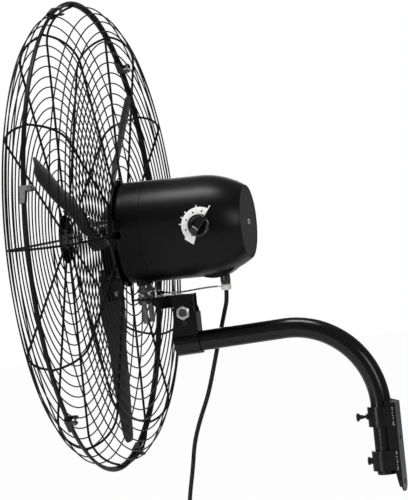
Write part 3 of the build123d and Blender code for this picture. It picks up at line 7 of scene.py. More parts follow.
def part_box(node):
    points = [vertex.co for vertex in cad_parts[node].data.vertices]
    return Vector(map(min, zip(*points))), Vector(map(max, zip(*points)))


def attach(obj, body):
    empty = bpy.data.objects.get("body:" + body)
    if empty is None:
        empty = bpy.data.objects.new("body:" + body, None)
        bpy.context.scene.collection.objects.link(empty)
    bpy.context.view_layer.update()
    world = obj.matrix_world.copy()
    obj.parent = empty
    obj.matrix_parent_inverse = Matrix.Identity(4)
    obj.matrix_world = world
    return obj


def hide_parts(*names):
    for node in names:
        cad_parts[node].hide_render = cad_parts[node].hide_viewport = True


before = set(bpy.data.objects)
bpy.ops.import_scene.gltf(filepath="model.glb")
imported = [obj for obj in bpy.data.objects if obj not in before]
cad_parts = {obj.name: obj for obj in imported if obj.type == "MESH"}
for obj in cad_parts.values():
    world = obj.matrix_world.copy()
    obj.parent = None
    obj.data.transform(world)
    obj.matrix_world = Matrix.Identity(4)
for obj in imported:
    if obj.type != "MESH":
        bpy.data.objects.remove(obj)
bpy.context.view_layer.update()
MM = 0.001
X, Y, Z = Vector((1, 0, 0)), Vector((0, 1, 0)), Vector((0, 0, 1))
DOWN, TO_ROOM, FAR_SIDE = (0, 0, -1), (0, -1, 0), (-1, 0, 0)

# ---- places --------------------------------------------------------------------------------
CAGE_Y, CAGE_Z = -496, 401      # the middle of the cage's rim


def head(x, y, z):
    """A point given from the middle of the cage's rim, in millimetres, as a point of the frame."""
    return Vector((x, y + CAGE_Y, z + CAGE_Z)) * MM


def wall(x, y, z):
    """A point given in millimetres as a point of the frame."""
    return Vector((x, y, z)) * MM


def rotor_way(angle):
    """Outward and sideways directions at an angle about the fan's axis, from +X towards +Z."""
    a = math.radians(angle)
    return Vector((math.cos(a), 0, math.sin(a))), Vector((-math.sin(a), 0, math.cos(a)))


def add(name, data):
    """Puts an object with this data into the scene."""
    made = bpy.data.objects.new(name, data)
    bpy.context.scene.collection.objects.link(made)
    return made


# ---- camera and lamps ----------------------------------------------------------------------
CAMERA_AT = (5.18047, 0.98311, 0.54241)
CAMERA_RIGHT, CAMERA_AHEAD = (-0.23691, 0.96593, -0.10416), (-0.96979, -0.24155, -0.03421)
FOCAL_PX, PICTURE_PX, SENSOR = 3118.56, 500, 36
LAMPS = (   # name, place, aim, width, power, height
    ("overhead", (0.25, -0.8, 2.9), (0.05, -0.8, 0.4), 2.0, 80, 0.8),
    ("near_front", (2.7, -2.1, 0.7), (0, -0.2, 0.2), 0.4, 52, 1.8),
    ("near_wall", (2.2, 2.5, 1.3), (0, -0.2, 0.3), 0.9, 36, 1.6),
    ("far_side", (-2.6, -1.0, 0.9), (0, -0.4, 0.4), 1.2, 10, None),
)

camera = add("camera", bpy.data.cameras.new("camera"))
ahead = Vector(CAMERA_AHEAD)
up = Vector(CAMERA_RIGHT).cross(ahead).normalized()
right = ahead.cross(up).normalized()
facing = Matrix((right, up, -ahead.normalized())).transposed()
camera.matrix_world = Matrix.Translation(CAMERA_AT) @ facing.to_4x4()
camera.data.sensor_width = SENSOR
camera.data.lens = FOCAL_PX * SENSOR / PICTURE_PX
camera.data.clip_end = 60
bpy.context.scene.camera = camera
bpy.context.scene.view_settings.view_transform = "Standard"

for name, at, aim, width, power, height in LAMPS:
    lamp = add(name, bpy.data.lights.new(name, "AREA"))
    lamp.data.energy = power
    lamp.data.size = width
    if height:
        lamp.data.shape = "RECTANGLE"
        lamp.data.size_y = height
    lamp.location = at
    lamp.rotation_euler = (Vector(aim) - Vector(at)).to_track_quat("-Z", "Y").to_euler()


# ---- shader helpers ------------------------------------------------------------------------
def maths(tree, operation, first, second):
    """A maths node's output; what it works on is a socket or a plain number."""
    made = tree.nodes.new("ShaderNodeMath")
    made.operation = operation
    for socket, value in zip(made.inputs, (first, second)):
        if isinstance(value, float):
            socket.default_value = value
        else:
            tree.links.new(value, socket)
    return made.outputs[0]


def noise(tree, where, scale, detail):
    """A cloudy noise's output."""
    made = tree.nodes.new("ShaderNodeTexNoise")
    made.inputs["Scale"].default_value = scale
    made.inputs["Detail"].default_value = detail
    tree.links.new(where, made.inputs["Vector"])
    return made.outputs["Fac"]


def relief(tree, height, strength, depth):
    """Gives the surface a fine relief, of a depth in metres."""
    made = tree.nodes.new("ShaderNodeBump")
    made.inputs["Strength"].default_value = strength
    made.inputs["Distance"].default_value = depth
    tree.links.new(height, made.inputs["Height"])
    tree.links.new(made.outputs["Normal"], tree.nodes["Principled BSDF"].inputs["Normal"])


# ---- world and floor -----------------------------------------------------------------------
WORLD_LIGHT = 0.16          # what the white world gives as light, beside 1 for the camera
WORLD_IN_GLOSS = 0.1        # how much of the rest shows in reflections
FLOOR_WHITE = 0.975         # how much of the floor that the camera sees is plain white
FLOOR_Z, FLOOR_HALF = -0.42, 9

world = bpy.data.worlds.new("world")
bpy.context.scene.world = world
world.use_nodes = True
sky = world.node_tree
ray = sky.nodes.new("ShaderNodeLightPath").outputs
direct = maths(sky, "MAXIMUM", ray["Is Camera Ray"], ray["Is Transmission Ray"])
glossy = maths(sky, "MULTIPLY", ray["Is Glossy Ray"], WORLD_IN_GLOSS)
level = sky.nodes.new("ShaderNodeMapRange")
level.inputs["To Min"].default_value = WORLD_LIGHT
level.inputs["To Max"].default_value = 1.0
sky.links.new(maths(sky, "MAXIMUM", direct, glossy), level.inputs["Value"])
sky.links.new(level.outputs["Result"], sky.nodes["Background"].inputs["Strength"])
sky.nodes["Background"].inputs["Color"].default_value = (1, 1, 1, 1)

floor_mesh = bpy.data.meshes.new("floor")
floor_mesh.from_pydata([(x * FLOOR_HALF, y * FLOOR_HALF, FLOOR_Z)
                        for x, y in ((-1, -1), (1, -1), (1, 1), (-1, 1))], [], [(0, 1, 2, 3)])
floor = add("floor", floor_mesh)
floor_look = bpy.data.materials.new("floor")
floor_look.use_nodes = True
tree = floor_look.node_tree
surface = tree.nodes["Principled BSDF"]
surface.inputs["Base Color"].default_value = (0.9, 0.9, 0.9, 1)
surface.inputs["Roughness"].default_value = 0.9
white = tree.nodes.new("ShaderNodeEmission")
white.inputs["Strength"].default_value = 1.0
seen = tree.nodes.new("ShaderNodeLightPath").outputs["Is Camera Ray"]
mix = tree.nodes.new("ShaderNodeMixShader")
tree.links.new(maths(tree, "MULTIPLY", seen, FLOOR_WHITE), mix.inputs["Fac"])
tree.links.new(surface.outputs[0], mix.inputs[1])
tree.links.new(white.outputs[0], mix.inputs[2])
tree.links.new(mix.outputs[0], tree.nodes["Material Output"].inputs["Surface"])
floor_mesh.materials.append(floor_look)

# ---- materials -----------------------------------------------------------------------------
TINT_GAIN = 3               # how much more the colour varies than the gloss
TINT_FROM, TINT_TO = 0.3, 0.72
SMOOTHEST = 0.04            # the lowest roughness
GRAIN_DEPTH = 0.0006
WAVE_LENGTH = 0.314         # of the wave texture at a scale of 1, in metres


def material(name, colour, rough=0.4, metal=0.0, specular=0.5, vary=0.06, scale=60, bump=0.0,
             bump_scale=900, stretch=None):
    """A surface whose colour, gloss and relief all vary a little, at the real thing's scale."""
    made = bpy.data.materials.new(name)
    made.use_nodes = True
    tree = made.node_tree
    node, link = tree.nodes, tree.links
    shader = node["Principled BSDF"]
    shader.inputs["Metallic"].default_value = metal
    shader.inputs["Specular IOR Level"].default_value = specular
    where = node.new("ShaderNodeTexCoord")
    mapping = node.new("ShaderNodeMapping")
    if stretch:
        mapping.inputs["Scale"].default_value = stretch
    link.new(where.outputs["Object"], mapping.inputs["Vector"])
    cloud = noise(tree, mapping.outputs["Vector"], scale, 4)
    tint = node.new("ShaderNodeValToRGB")
    for stop, position, sign in zip(tint.color_ramp.elements, (TINT_FROM, TINT_TO), (-1, 1)):
        stop.position = position
        stop.color = tuple(min(1, c * (1 + sign * vary * TINT_GAIN)) for c in colour) + (1,)
    link.new(cloud, tint.inputs["Fac"])
    link.new(tint.outputs["Color"], shader.inputs["Base Color"])
    gloss = node.new("ShaderNodeMapRange")
    gloss.inputs["To Min"].default_value = max(SMOOTHEST, rough - vary)
    gloss.inputs["To Max"].default_value = min(1, rough + vary)
    link.new(cloud, gloss.inputs["Value"])
    link.new(gloss.outputs["Result"], shader.inputs["Roughness"])
    if bump:
        relief(tree, noise(tree, mapping.outputs["Vector"], bump_scale, 3), bump, GRAIN_DEPTH)
    return made


def lined(name, colour, rough, metal, axis, pitch, bump, vary=0.05):
    """As material(), with fine parallel lines across an axis, a pitch apart in metres."""
    made = material(name, colour, rough, metal, vary=vary)
    tree = made.node_tree
    wave = tree.nodes.new("ShaderNodeTexWave")
    wave.bands_direction = axis
    wave.inputs["Scale"].default_value = WAVE_LENGTH / pitch
    tree.links.new(tree.nodes["Mapping"].outputs["Vector"], wave.inputs["Vector"])
    relief(tree, wave.outputs["Fac"], bump, pitch / 3)
    return made


ENAMEL = material("black_enamel", (0.0025, 0.0025, 0.0028), 0.21, specular=0.26, vary=0.03,
                  scale=25, bump=0.04, bump_scale=1400)
BARREL = material("barrel_enamel", (0.0025, 0.0025, 0.0028), 0.33, specular=0.14, vary=0.02,
                  scale=18, bump=0.03, bump_scale=1800)
WIRE = material("cage_black", (0.0025, 0.0025, 0.0027), 0.42, specular=0.1, vary=0.04,
                scale=70, bump=0.05)
RIM = material("rim_black", (0.0025, 0.0025, 0.0027), 0.36, specular=0.1, vary=0.04,
               scale=70, bump=0.03)
CAP = material("cap_grey", (0.014, 0.014, 0.015), 0.4, specular=0.16, vary=0.03,
               scale=40, bump=0.04)
BLADE = material("blade_grey", (0.016, 0.016, 0.0175), 0.5, specular=0.25, vary=0.05,
                 scale=22, bump=0.05)
ZINC = material("zinc", (0.62, 0.62, 0.6), 0.3, 1.0, vary=0.08,
                scale=180, bump=0.15, bump_scale=700)
DARK_STEEL = material("dark_steel", (0.16, 0.16, 0.16), 0.34, 0.8, vary=0.08,
                      scale=220, bump=0.2)
BOLT_STEEL = material("bolt_steel", (0.03, 0.03, 0.03), 0.5, 0.4, vary=0.12,
                      scale=320, bump=0.3)
DULL_ZINC = material("dull_zinc", (0.1, 0.1, 0.1), 0.35, 0.8, vary=0.1,
                     scale=200, bump=0.15)
NUT = material("nut_zinc", (0.5, 0.5, 0.49), 0.34, 1.0, vary=0.1,
               scale=240, bump=0.12, bump_scale=600)
BLACK_SCREW = material("black_screw", (0.006, 0.006, 0.0065), 0.3, 0.0, specular=0.3,
                       scale=200)
# Painted light: a pale grey used only for the near rim clip. It stands for the light falling on
# that clip, since all the clips are the same black part.
CLIP = material("clip_painted_lit", (0.12, 0.12, 0.12), 0.45, 0.3, scale=150, bump=0.1)
PRINT = material("white_print", (0.84, 0.84, 0.83), 0.5, vary=0.03, scale=300, bump=0.05)
KNOB = material("knob_black", (0.005, 0.005, 0.0055), 0.18, specular=0.4, vary=0.03,
                scale=120, bump=0.04)
GLAND = material("gland_black", (0.005, 0.005, 0.005), 0.14, specular=0.7, vary=0.04,
                 scale=120, bump=0.03)
CLAMP = material("clamp_white", (0.62, 0.62, 0.6), 0.35, vary=0.05, scale=90, bump=0.06)
CORD = material("cord_black", (0.006, 0.006, 0.006), 0.4, specular=0.2, vary=0.05,
                scale=90, bump=0.12)
PLUG = material("plug_black", (0.016, 0.016, 0.016), 0.5, vary=0.04, scale=110, bump=0.1)
TIE = material("tie_black", (0.02, 0.02, 0.02), 0.45, vary=0.04, scale=140, bump=0.15)
BRASS = material("pin_brass", (0.72, 0.55, 0.25), 0.22, 1.0, vary=0.05, scale=160)
WIRE_STEEL = material("tether_steel", (0.5, 0.5, 0.49), 0.35, 1.0, vary=0.1,
                      scale=260, bump=0.2)
STACK = lined("stack_steel", (0.2, 0.2, 0.21), 0.45, 0.8, "Y", 0.001, 0.5)
COPPER = lined("copper_wire", (0.42, 0.16, 0.06), 0.35, 0.6, "X", 0.0012, 0.6)
BEARING = material("bearing_steel", (0.6, 0.6, 0.6), 0.16, 1.0, vary=0.03)
SHAFT = material("shaft_steel", (0.5, 0.5, 0.5), 0.22, 1.0, vary=0.04, stretch=(1, 12, 1),
                 bump=0.1)
ALLOY = material("cast_alloy", (0.4, 0.4, 0.41), 0.55, 0.8, bump=0.4, bump_scale=500)
PLASTIC = material("moulded_plastic", (0.05, 0.05, 0.05), 0.4, vary=0.04,
                   scale=100, bump=0.1)

LOOKS = {
    ENAMEL: "wall_channel upper_collar lower_collar arm_tube tilt_clevis neck_bracket "
            "front_guard_badge guard_mount_plate fan_hub gland_saddle",
    BARREL: "front_bell rear_shell",
    WIRE: "front_guard_spiral front_guard_side_spiral front_guard_ribs "
          "rear_guard_spiral rear_guard_side_spiral rear_guard_ribs",
    RIM: "rim_wires",
    CAP: "rear_cap",
    BLADE: "fan_blades",
    ZINC: "tilt_nut cap_screw tie_bolts cover_post knob_spindle blade_rivets shaft_nut",
    DULL_ZINC: "stud_nuts stud_washers rim_clip_screws guard_mount_screws",
    BOLT_STEEL: "tilt_bolt",
    DARK_STEEL: "mounting_studs",
    BLACK_SCREW: "upper_thumbscrew lower_thumbscrew tilt_washers clevis_lock_screw",
    CLIP: "rim_clips",
    PRINT: "dial_scale",
    KNOB: "speed_knob arm_end_cap",
    GLAND: "cord_gland",
    CLAMP: "cord_clamp",
    CORD: "supply_cord cord_coil",
    PLUG: "mains_plug",
    TIE: "coil_tie",
    BRASS: "plug_pins",
    WIRE_STEEL: "tether_wire",
    STACK: "stator_core rotor_core",
    COPPER: "stator_windings",
    BEARING: "bearing_outer_races bearing_balls bearing_inner_races",
    SHAFT: "motor_shaft",
    ALLOY: "rear_end_shield",
    PLASTIC: "run_capacitor speed_switch",
}
for look, names in LOOKS.items():
    for name in names.split():
        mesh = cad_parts[name].data
        mesh.materials.clear()
        mesh.materials.append(look)

# ---- mesh helpers --------------------------------------------------------------------------
SAME_POINT = 1e-6
BOX_SECTION = (0, 1, 3, 2, 0)       # round the four rows of points of a form made in two layers
CHAMFER_ROWS, CHAMFER_SLOPE = (0, 0.3, 0.7, 1.2, 1.8), 1.6      # of nuts and hexagonal heads
ROWS_PER_TURN = 6                   # of a thread


def piece(name, verts, faces, body, look, slot, stands_for=(), smooth=True):
    """A mesh that rides on a body, with its finish and the CAD nodes that it stands for."""
    mesh = bpy.data.meshes.new(name)
    mesh.from_pydata([tuple(v) for v in verts], [], faces)
    mesh.validate()
    made = add(name, mesh)
    shape = bmesh.new()
    shape.from_mesh(mesh)
    bmesh.ops.remove_doubles(shape, verts=shape.verts, dist=SAME_POINT)
    bmesh.ops.recalc_face_normals(shape, faces=shape.faces)
    shape.to_mesh(mesh)
    shape.free()
    for face in mesh.polygons:
        face.use_smooth = smooth
    mesh.materials.append(look)
    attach(made, body)
    if stands_for:
        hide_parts(*stands_for)


def joined(*parts):
    """Several forms, each of points and faces, as one."""
    verts, faces = [], []
    for part_verts, part_faces in parts:
        base = len(verts)
        verts += part_verts
        faces += [tuple(base + i for i in face) for face in part_faces]
    return verts, faces


def spun(origin, direction, rows, steps, radius_at, turned=0.0):
    """Rings of points about a line: row j is rows[j] along it and radius_at(j, i) away from it."""
    along = Vector(direction).normalized()
    side = along.orthogonal().normalized()
    other = along.cross(side)
    verts = []
    for j, d in enumerate(rows):
        for i in range(steps):
            a = 2 * math.pi * i / steps + turned
            way = side * math.cos(a) + other * math.sin(a)
            verts.append(origin + (along * d + way * radius_at(j, i)) * MM)
    return verts


def between(rings, steps):
    """Faces from each of these rings of points to the next."""
    faces = []
    for j, k in zip(rings, rings[1:]):
        for i in range(steps):
            n = (i + 1) % steps
            faces.append((j * steps + i, j * steps + n, k * steps + n, k * steps + i))
    return faces


def lid(ring, steps):
    """The face that closes a ring of points."""
    return tuple(ring * steps + i for i in range(steps))


def lathe(origin, direction, outline, steps=48):
    """Turns an outline of (distance along, radius), in millimetres, about a line."""
    last = len(outline) - 1
    verts = spun(origin, direction, [d for d, _ in outline], steps, lambda j, i: outline[j][1])
    faces = between(range(last + 1), steps)
    if outline[0] != outline[last]:
        if outline[0][1] > 0:
            faces.append(lid(0, steps)[::-1])
        if outline[last][1] > 0:
            faces.append(lid(last, steps))
    return verts, faces


def thread(origin, direction, length, radius, pitch, depth, steps=24):
    """A threaded rod: a helical ridge, with its ends drawn in."""
    last = max(2, int(length / pitch * ROWS_PER_TURN))
    rows = [length * j / last for j in range(last + 1)]

    def radius_at(j, i):
        if rows[j] < depth or rows[j] > length - depth:
            return radius - depth
        phase = (rows[j] / pitch - i / steps) % 1
        return radius - depth * abs(2 * phase - 1)

    verts = spun(origin, direction, rows, steps, radius_at)
    return verts, between(range(last + 1), steps) + [lid(0, steps)[::-1], lid(last, steps)]


def fluted(origin, direction, outline, flutes, depth, steps=96):
    """As lathe(), with grooves along it, as deep as each point's third number says."""
    def radius_at(j, i):
        a = 2 * math.pi * i / steps
        return outline[j][1] - depth * outline[j][2] * max(0.0, math.cos(flutes * a)) ** 2

    verts = spun(origin, direction, [row[0] for row in outline], steps, radius_at)
    return verts, between(range(len(outline)), steps)


def hex_form(origin, direction, across, height, bore, turn=0.0, bevel=0.06, steps=48):
    """A nut or a screw head: a hexagon whose corners are turned off at both ends."""
    flat = across / 2
    near = [d for d in CHAMFER_ROWS if d < height / 2]
    rows = near + [height - d for d in reversed(near)]
    body = len(rows)

    def radius_at(j, i):
        if j >= body:
            return bore
        a = 2 * math.pi * i / steps
        corner = flat / math.cos((a + math.pi / 6) % (math.pi / 3) - math.pi / 6)
        room = min(rows[j], height - rows[j])
        return min(corner, flat * (1 - bevel) + room * CHAMFER_SLOPE)

    verts = spun(origin, direction, rows + [height, 0.0], steps, radius_at, math.radians(turn))
    return verts, between(list(range(body + 2)) + [0], steps)


def bead(centre, radii, axes, steps=10):
    """A small rounded lump with its own three radii."""
    verts = []
    for j in range(1, steps):
        b = math.pi * j / steps
        for i in range(steps):
            a = 2 * math.pi * i / steps
            way = (math.sin(b) * math.cos(a), math.sin(b) * math.sin(a), math.cos(b))
            reach = (axis * (w * r) for axis, w, r in zip(axes, way, radii))
            verts.append(centre + sum(reach, Vector()) * MM)
    faces = between(range(steps - 1), steps)
    return verts, faces + [lid(0, steps), lid(steps - 2, steps)]


def round_wire(name, path, radius, roundness, look):
    """A round wire or cord along the smooth line of a path, given as points of the head."""
    curve = bpy.data.curves.new(name, "CURVE")
    curve.dimensions = "3D"
    spline = curve.splines.new("NURBS")
    spline.points.add(len(path) - 1)
    for knot, point in zip(spline.points, path):
        knot.co = tuple(head(*point)) + (1,)
    spline.order_u = 3
    spline.use_endpoint_u = True
    spline.resolution_u = 8
    curve.bevel_depth = radius * MM
    curve.bevel_resolution = roundness
    curve.use_fill_caps = True
    curve.materials.append(look)
    return add(name, curve)


# ---- cord, with its coil -------------------------------------------------------------------
CORD_R, CORD_ROUNDNESS = 3.75, 6
ROUTE = [
    (0, 221, -126), (-15, 210, -150), (-29.5, 198.5, -176), (-29.5, 187, -212), (-29.5, 175, -252),
    (-29.5, 161.5, -294), (-29.5, 143, -334), (-29.5, 128.5, -374), (-29.5, 121.5, -416),
    (-29.5, 111.5, -460), (-29.5, 105.5, -499), (-29.5, 105, -531), (-29.5, 105, -541),
]
COIL_X, COIL_Y, COIL_Z = -29.5, 105.0, -540.0       # where the hanging cord runs into the coil
COIL_LAYER, COIL_STEP, COIL_OUTER = 9.0, 4.7, 51.0
COIL_LAYERS, LAYER_HALF_TURNS, HALF_TURN_POINTS = 4, 4, 8
COIL_TAIL = (12, 28, 44.0)                          # the last points, down to the plug


def coil_points():
    """Points of the cord's spline round the coil, as many to each half turn."""
    inward = [COIL_OUTER - COIL_STEP * i for i in range(LAYER_HALF_TURNS)]
    radii = [COIL_OUTER + COIL_STEP]
    for layer in range(COIL_LAYERS):
        radii += inward if layer % 2 == 0 else inward[::-1]
    middle_y, top = COIL_Y - radii[0], COIL_Z - 2 * CORD_R
    made, side, layer = [], 1, 0
    for i, (r_from, r_to) in enumerate(zip(radii, radii[1:])):
        climbs = i > 0 and i % LAYER_HALF_TURNS == 0
        start, end = middle_y + side * r_from, middle_y - side * r_to
        mid, r = (start + end) / 2, abs(end - start) / 2
        stand = r / math.cos(math.pi / HALF_TURN_POINTS / 2)
        for j in range(HALF_TURN_POINTS):
            share = (j + 0.5) / HALF_TURN_POINTS
            a = math.pi * (j + 0.5) / HALF_TURN_POINTS
            x = COIL_X - (layer + (share if climbs else 0)) * COIL_LAYER
            made.append((x, mid + side * stand * math.cos(a), top - side * stand * math.sin(a)))
        layer += 1 if climbs else 0
        side = -side
    end_x, end_y = COIL_X - layer * COIL_LAYER, middle_y + side * radii[-1]
    return made + [(end_x, end_y, top - d) for d in COIL_TAIL]


lead = round_wire("mains_lead", [(0, 221, -97)] + ROUTE + coil_points(), CORD_R, CORD_ROUNDNESS,
                  CORD)
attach(lead, "head")
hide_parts("supply_cord", "cord_coil")

# ---- wall bracket --------------------------------------------------------------------------
COLLARS_Z = UPPER_Z, LOWER_Z = 51.5, -24.0
COLLAR_FACE = -52
SCREW_R, SCREW_LENGTH, SCREW_PITCH, SCREW_RIDGE = 2.92, 18.0, 1.0, 0.42
HEAD_HIGH, THREAD_FROM = 4.4, 3.0
SCREW_HEAD = [(0, 0), (0, 5.2), (0.4, 6.8), (1.0, 7.0), (3.4, 7.0), (4.0, 6.6), (HEAD_HIGH, 5.4)]
LONG_NECK = [(5.4, 4.4), (7.4, 3.7), (10.2, 3.6), (10.6, SCREW_R)]
SHORT_NECK = [(4.5, SCREW_R)]
THUMBSCREWS = (     # name, height, how far its head stands out, neck
    ("upper", UPPER_Z, 15.4, LONG_NECK),
    ("lower", LOWER_Z, 3.4, SHORT_NECK),
)
for label, z, out, neck in THUMBSCREWS:
    under = COLLAR_FACE - out
    rod = thread(wall(0, under + THREAD_FROM, z), Y, SCREW_LENGTH, SCREW_R, SCREW_PITCH,
                 SCREW_RIDGE)
    screw = joined(lathe(wall(0, under - HEAD_HIGH, z), Y, SCREW_HEAD + neck), rod)
    piece(label + "_thumbscrew_form", *screw, label + "_clamp", BLACK_SCREW, "black_screw",
          (label + "_thumbscrew",))

BOSS = [(-1, 3.2), (-1, 5.7), (2.1, 5.4), (2.9, 4.7), (3, 3.2), (-1, 3.2)]
bosses = [lathe(wall(0, COLLAR_FACE, z), TO_ROOM, BOSS) for z in COLLARS_Z]
piece("collar_bosses", *joined(*bosses), "wall_bracket", ENAMEL, "black_enamel")

# Each lump of weld as its height from the collar's middle and half its length.
LUMPS = ((-15, 1.3), (-12, 1.7), (-8, 1.2), (-3, 1.5), (1, 1.1), (6, 1.6), (11, 1.2), (14, 1.7))
CHEEK_X, CHEEK_WELD_Y, LUMP_WIDE, LUMP_DEEP = 22.6, -5.4, 1.3, 1.5
lumps = []
for z in COLLARS_Z:
    for k, (rise, half) in enumerate(LUMPS):
        for side in (-1, 1):
            spot = wall(side * CHEEK_X, CHEEK_WELD_Y - 0.3 * (k % 3), z + rise)
            lumps.append(bead(spot, (LUMP_WIDE, LUMP_DEEP, half), (X, Y, Z)))
piece("cheek_welds", *joined(*lumps), "wall_bracket", NUT, "zinc")

# ---- knob ----------------------------------------------------------------------------------
KNOB_AT = Vector((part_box("speed_knob")[0][0], -0.2898, 0.405))     # the middle of its back
POINTS_TO = math.radians(230)                                      # from +Y towards +Z
GRIP_ALONG = Vector((0, math.cos(POINTS_TO), math.sin(POINTS_TO)))
GRIP_ACROSS = Vector((0, -math.sin(POINTS_TO), math.cos(POINTS_TO)))


def grip_form(profile, half, bevel):
    """A bar with a side outline of (along, out) points, its long edges turned off."""
    n, inner, verts = len(profile), [], []
    for i, p in enumerate(profile):
        a, b = Vector(profile[i - 1]), Vector(profile[(i + 1) % n])
        way = ((Vector(p) - a).normalized() + (b - Vector(p)).normalized()).normalized()
        inner.append((p[0] - way.y * bevel, p[1] + way.x * bevel) if p[1] > 0 else p)
    for shape, w in ((inner, -half), (profile, bevel - half), (profile, half - bevel),
                     (inner, half)):
        verts += [KNOB_AT + (GRIP_ALONG * u + GRIP_ACROSS * w + Vector((d, 0, 0))) * MM
                  for u, d in shape]
    return verts, between(range(4), n) + [lid(0, n), lid(3, n)]


SKIRT_OUTLINE = [(0, 3.2), (0, 18.6), (0.4, 19), (3.1, 19), (3.4, 18.8), (4.8, 16.4), (4.9, 15.8),
                 (4.7, 15.4), (4.7, 3.2), (0, 3.2)]
GRIP_PROFILE = [(18.5, 1), (18.5, 4.6), (18.1, 5.4), (5.1, 16.6), (4.5, 16.9), (3.8, 16.9),
                (-17.2, 14.2), (-17.8, 13.6), (-18, 12.8), (-18, 1)]
# The thin strip across the grip's crease is a painted highlight. Its white print colour stands for
# light caught where the grip's top turns down to its sloped end.
HIGHLIGHT_PROFILE = [(5.1, 16.5), (4.5, 17.0), (3.8, 17.0), (3.8, 16.6)]
GRIP_HALF, GRIP_BEVEL, HIGHLIGHT_HALF, HIGHLIGHT_BEVEL = 5.8, 0.8, 5.4, 0.4
skirt = lathe(KNOB_AT, X, SKIRT_OUTLINE, 96)
grip = grip_form(GRIP_PROFILE, GRIP_HALF, GRIP_BEVEL)
highlight_strip = grip_form(HIGHLIGHT_PROFILE, HIGHLIGHT_HALF, HIGHLIGHT_BEVEL)
piece("knob_skirt", *skirt, "dial_knob", KNOB, "knob_black", ("speed_knob",))
piece("knob_grip", *grip, "dial_knob", KNOB, "knob_black", ("speed_knob",), smooth=False)
# Painted highlight across the grip's crease, in the white print finish.
piece("knob_painted_highlight", *highlight_strip, "dial_knob", PRINT, "white_print", smooth=False)

# ---- tilt joint ----------------------------------------------------------------------------
PIVOT = head(0, 146, -144)
NUT_AT = 18.46                  # from the pivot to the faces under the nut and the bolt's head
BOLT_ACROSS, BOLT_HIGH = 22, 8
BOLT_R, BOLT_PITCH, BOLT_RIDGE, BOLT_PAST_NUT = 6.95, 1.75, 0.7, 10.0
SHANK_R, BORE_R = 6.9, 7.05


def on_bolt(x):
    """A point on the bolt's line, so far to +X of the pivot."""
    return PIVOT + Vector((x, 0, 0)) * MM


bolt = joined(hex_form(on_bolt(-NUT_AT), FAR_SIDE, BOLT_ACROSS, BOLT_HIGH, 0.5),
              lathe(on_bolt(-NUT_AT - 0.5), X, [(0, SHANK_R), (NUT_AT * 2 + 2, SHANK_R)]),
              thread(on_bolt(NUT_AT + 1), X, BOLT_PAST_NUT, BOLT_R, BOLT_PITCH, BOLT_RIDGE))
nut = hex_form(on_bolt(NUT_AT), X, BOLT_ACROSS, BOLT_HIGH, BORE_R, turn=12, bevel=0.1)
piece("tilt_bolt_form", *bolt, "arm", BOLT_STEEL, "zinc", ("tilt_bolt",), smooth=False)
piece("tilt_nut_form", *nut, "arm", NUT, "zinc", ("tilt_nut",), smooth=False)

# ---- studs ---------------------------------------------------------------------------------
STUD_X, STUD_Y, STUD_FOOT, STUD_LENGTH = 22, 79.0, -157, 76
STUD_R, STUD_PITCH, STUD_RIDGE = 5.0, 1.5, 0.55
STUD_NUTS = ((-111.34, 8), (-103.58, 31), (-124.36, -14))       # lower face, and angle
NUT_ACROSS, NUT_HIGH, NUT_BORE_R = 16, 6.5, 5.05
studs, nuts = [], []
for x in (-STUD_X, STUD_X):
    studs.append(thread(head(x, STUD_Y, STUD_FOOT), Z, STUD_LENGTH, STUD_R, STUD_PITCH, STUD_RIDGE))
    nuts += [hex_form(head(x, STUD_Y, z), Z, NUT_ACROSS, NUT_HIGH, NUT_BORE_R, turn=turn)
             for z, turn in STUD_NUTS]
piece("stud_threads", *joined(*studs), "head", DARK_STEEL, "dark_steel", ("mounting_studs",))
piece("stud_nuts_form", *joined(*nuts), "head", DULL_ZINC, "zinc", ("stud_nuts",), smooth=False)

# ---- cage details --------------------------------------------------------------------------
RING_WIRE, RING_SIDES, RING_STEPS = 2.75, 16, 240
RINGS = ((400.6, -2.3), (404.4, 1.6))       # radius, and how far back
rings = []
for r, y in RINGS:
    turns = [2 * math.pi * i / RING_SIDES for i in range(RING_SIDES)]
    section = [(RING_WIRE * math.cos(a), r + RING_WIRE * math.sin(a)) for a in turns]
    rings.append(lathe(head(0, y, 0), Y, section + section[:1], RING_STEPS))
piece("rim_rings", *joined(*rings), "head", RIM, "cage_black", ("rim_wires",))

RIBS = 12
RIB_WELDS = ((398.5, -2.1), (401.9, 2.6))   # radius, and how far back
RIB_WELD_SIZE = (2.4, 2.9, 3.0)             # half of it outwards, to the rear and along the rim
welds = []
for k in range(RIBS):
    out, side = rotor_way(k * 360 / RIBS)
    for r, y in RIB_WELDS:
        welds.append(bead(head(0, y, 0) + out * r * MM, RIB_WELD_SIZE, (out, Y, side)))
piece("rim_welds", *joined(*welds), "head", WIRE, "cage_black")

CLIP_COUNT, CLIP_FIRST = 6, 13              # the first clip, on the near side, gets painted light: pale grey for the light on it, where the others are black
CLIP_NEAR, CLIP_FAR, CLIP_FRONT = 397.4, 407.3, -5.2
CLIP_LOW, CLIP_HIGH, CLIP_SHEET, CLIP_BEND = -17.0, 12.0, 1.4, 1
CLIP_TAB = [    # each row: how far back, low edge, high edge
    (17.0, 5.6, 9.4), (16.0, 4.2, 11.2), (14.2, 3.5, CLIP_HIGH), (4.4, 3.5, CLIP_HIGH),
    (2.4, -14.6, CLIP_HIGH), (1.6, -16.4, CLIP_HIGH), (0.4, CLIP_LOW, CLIP_HIGH),
]


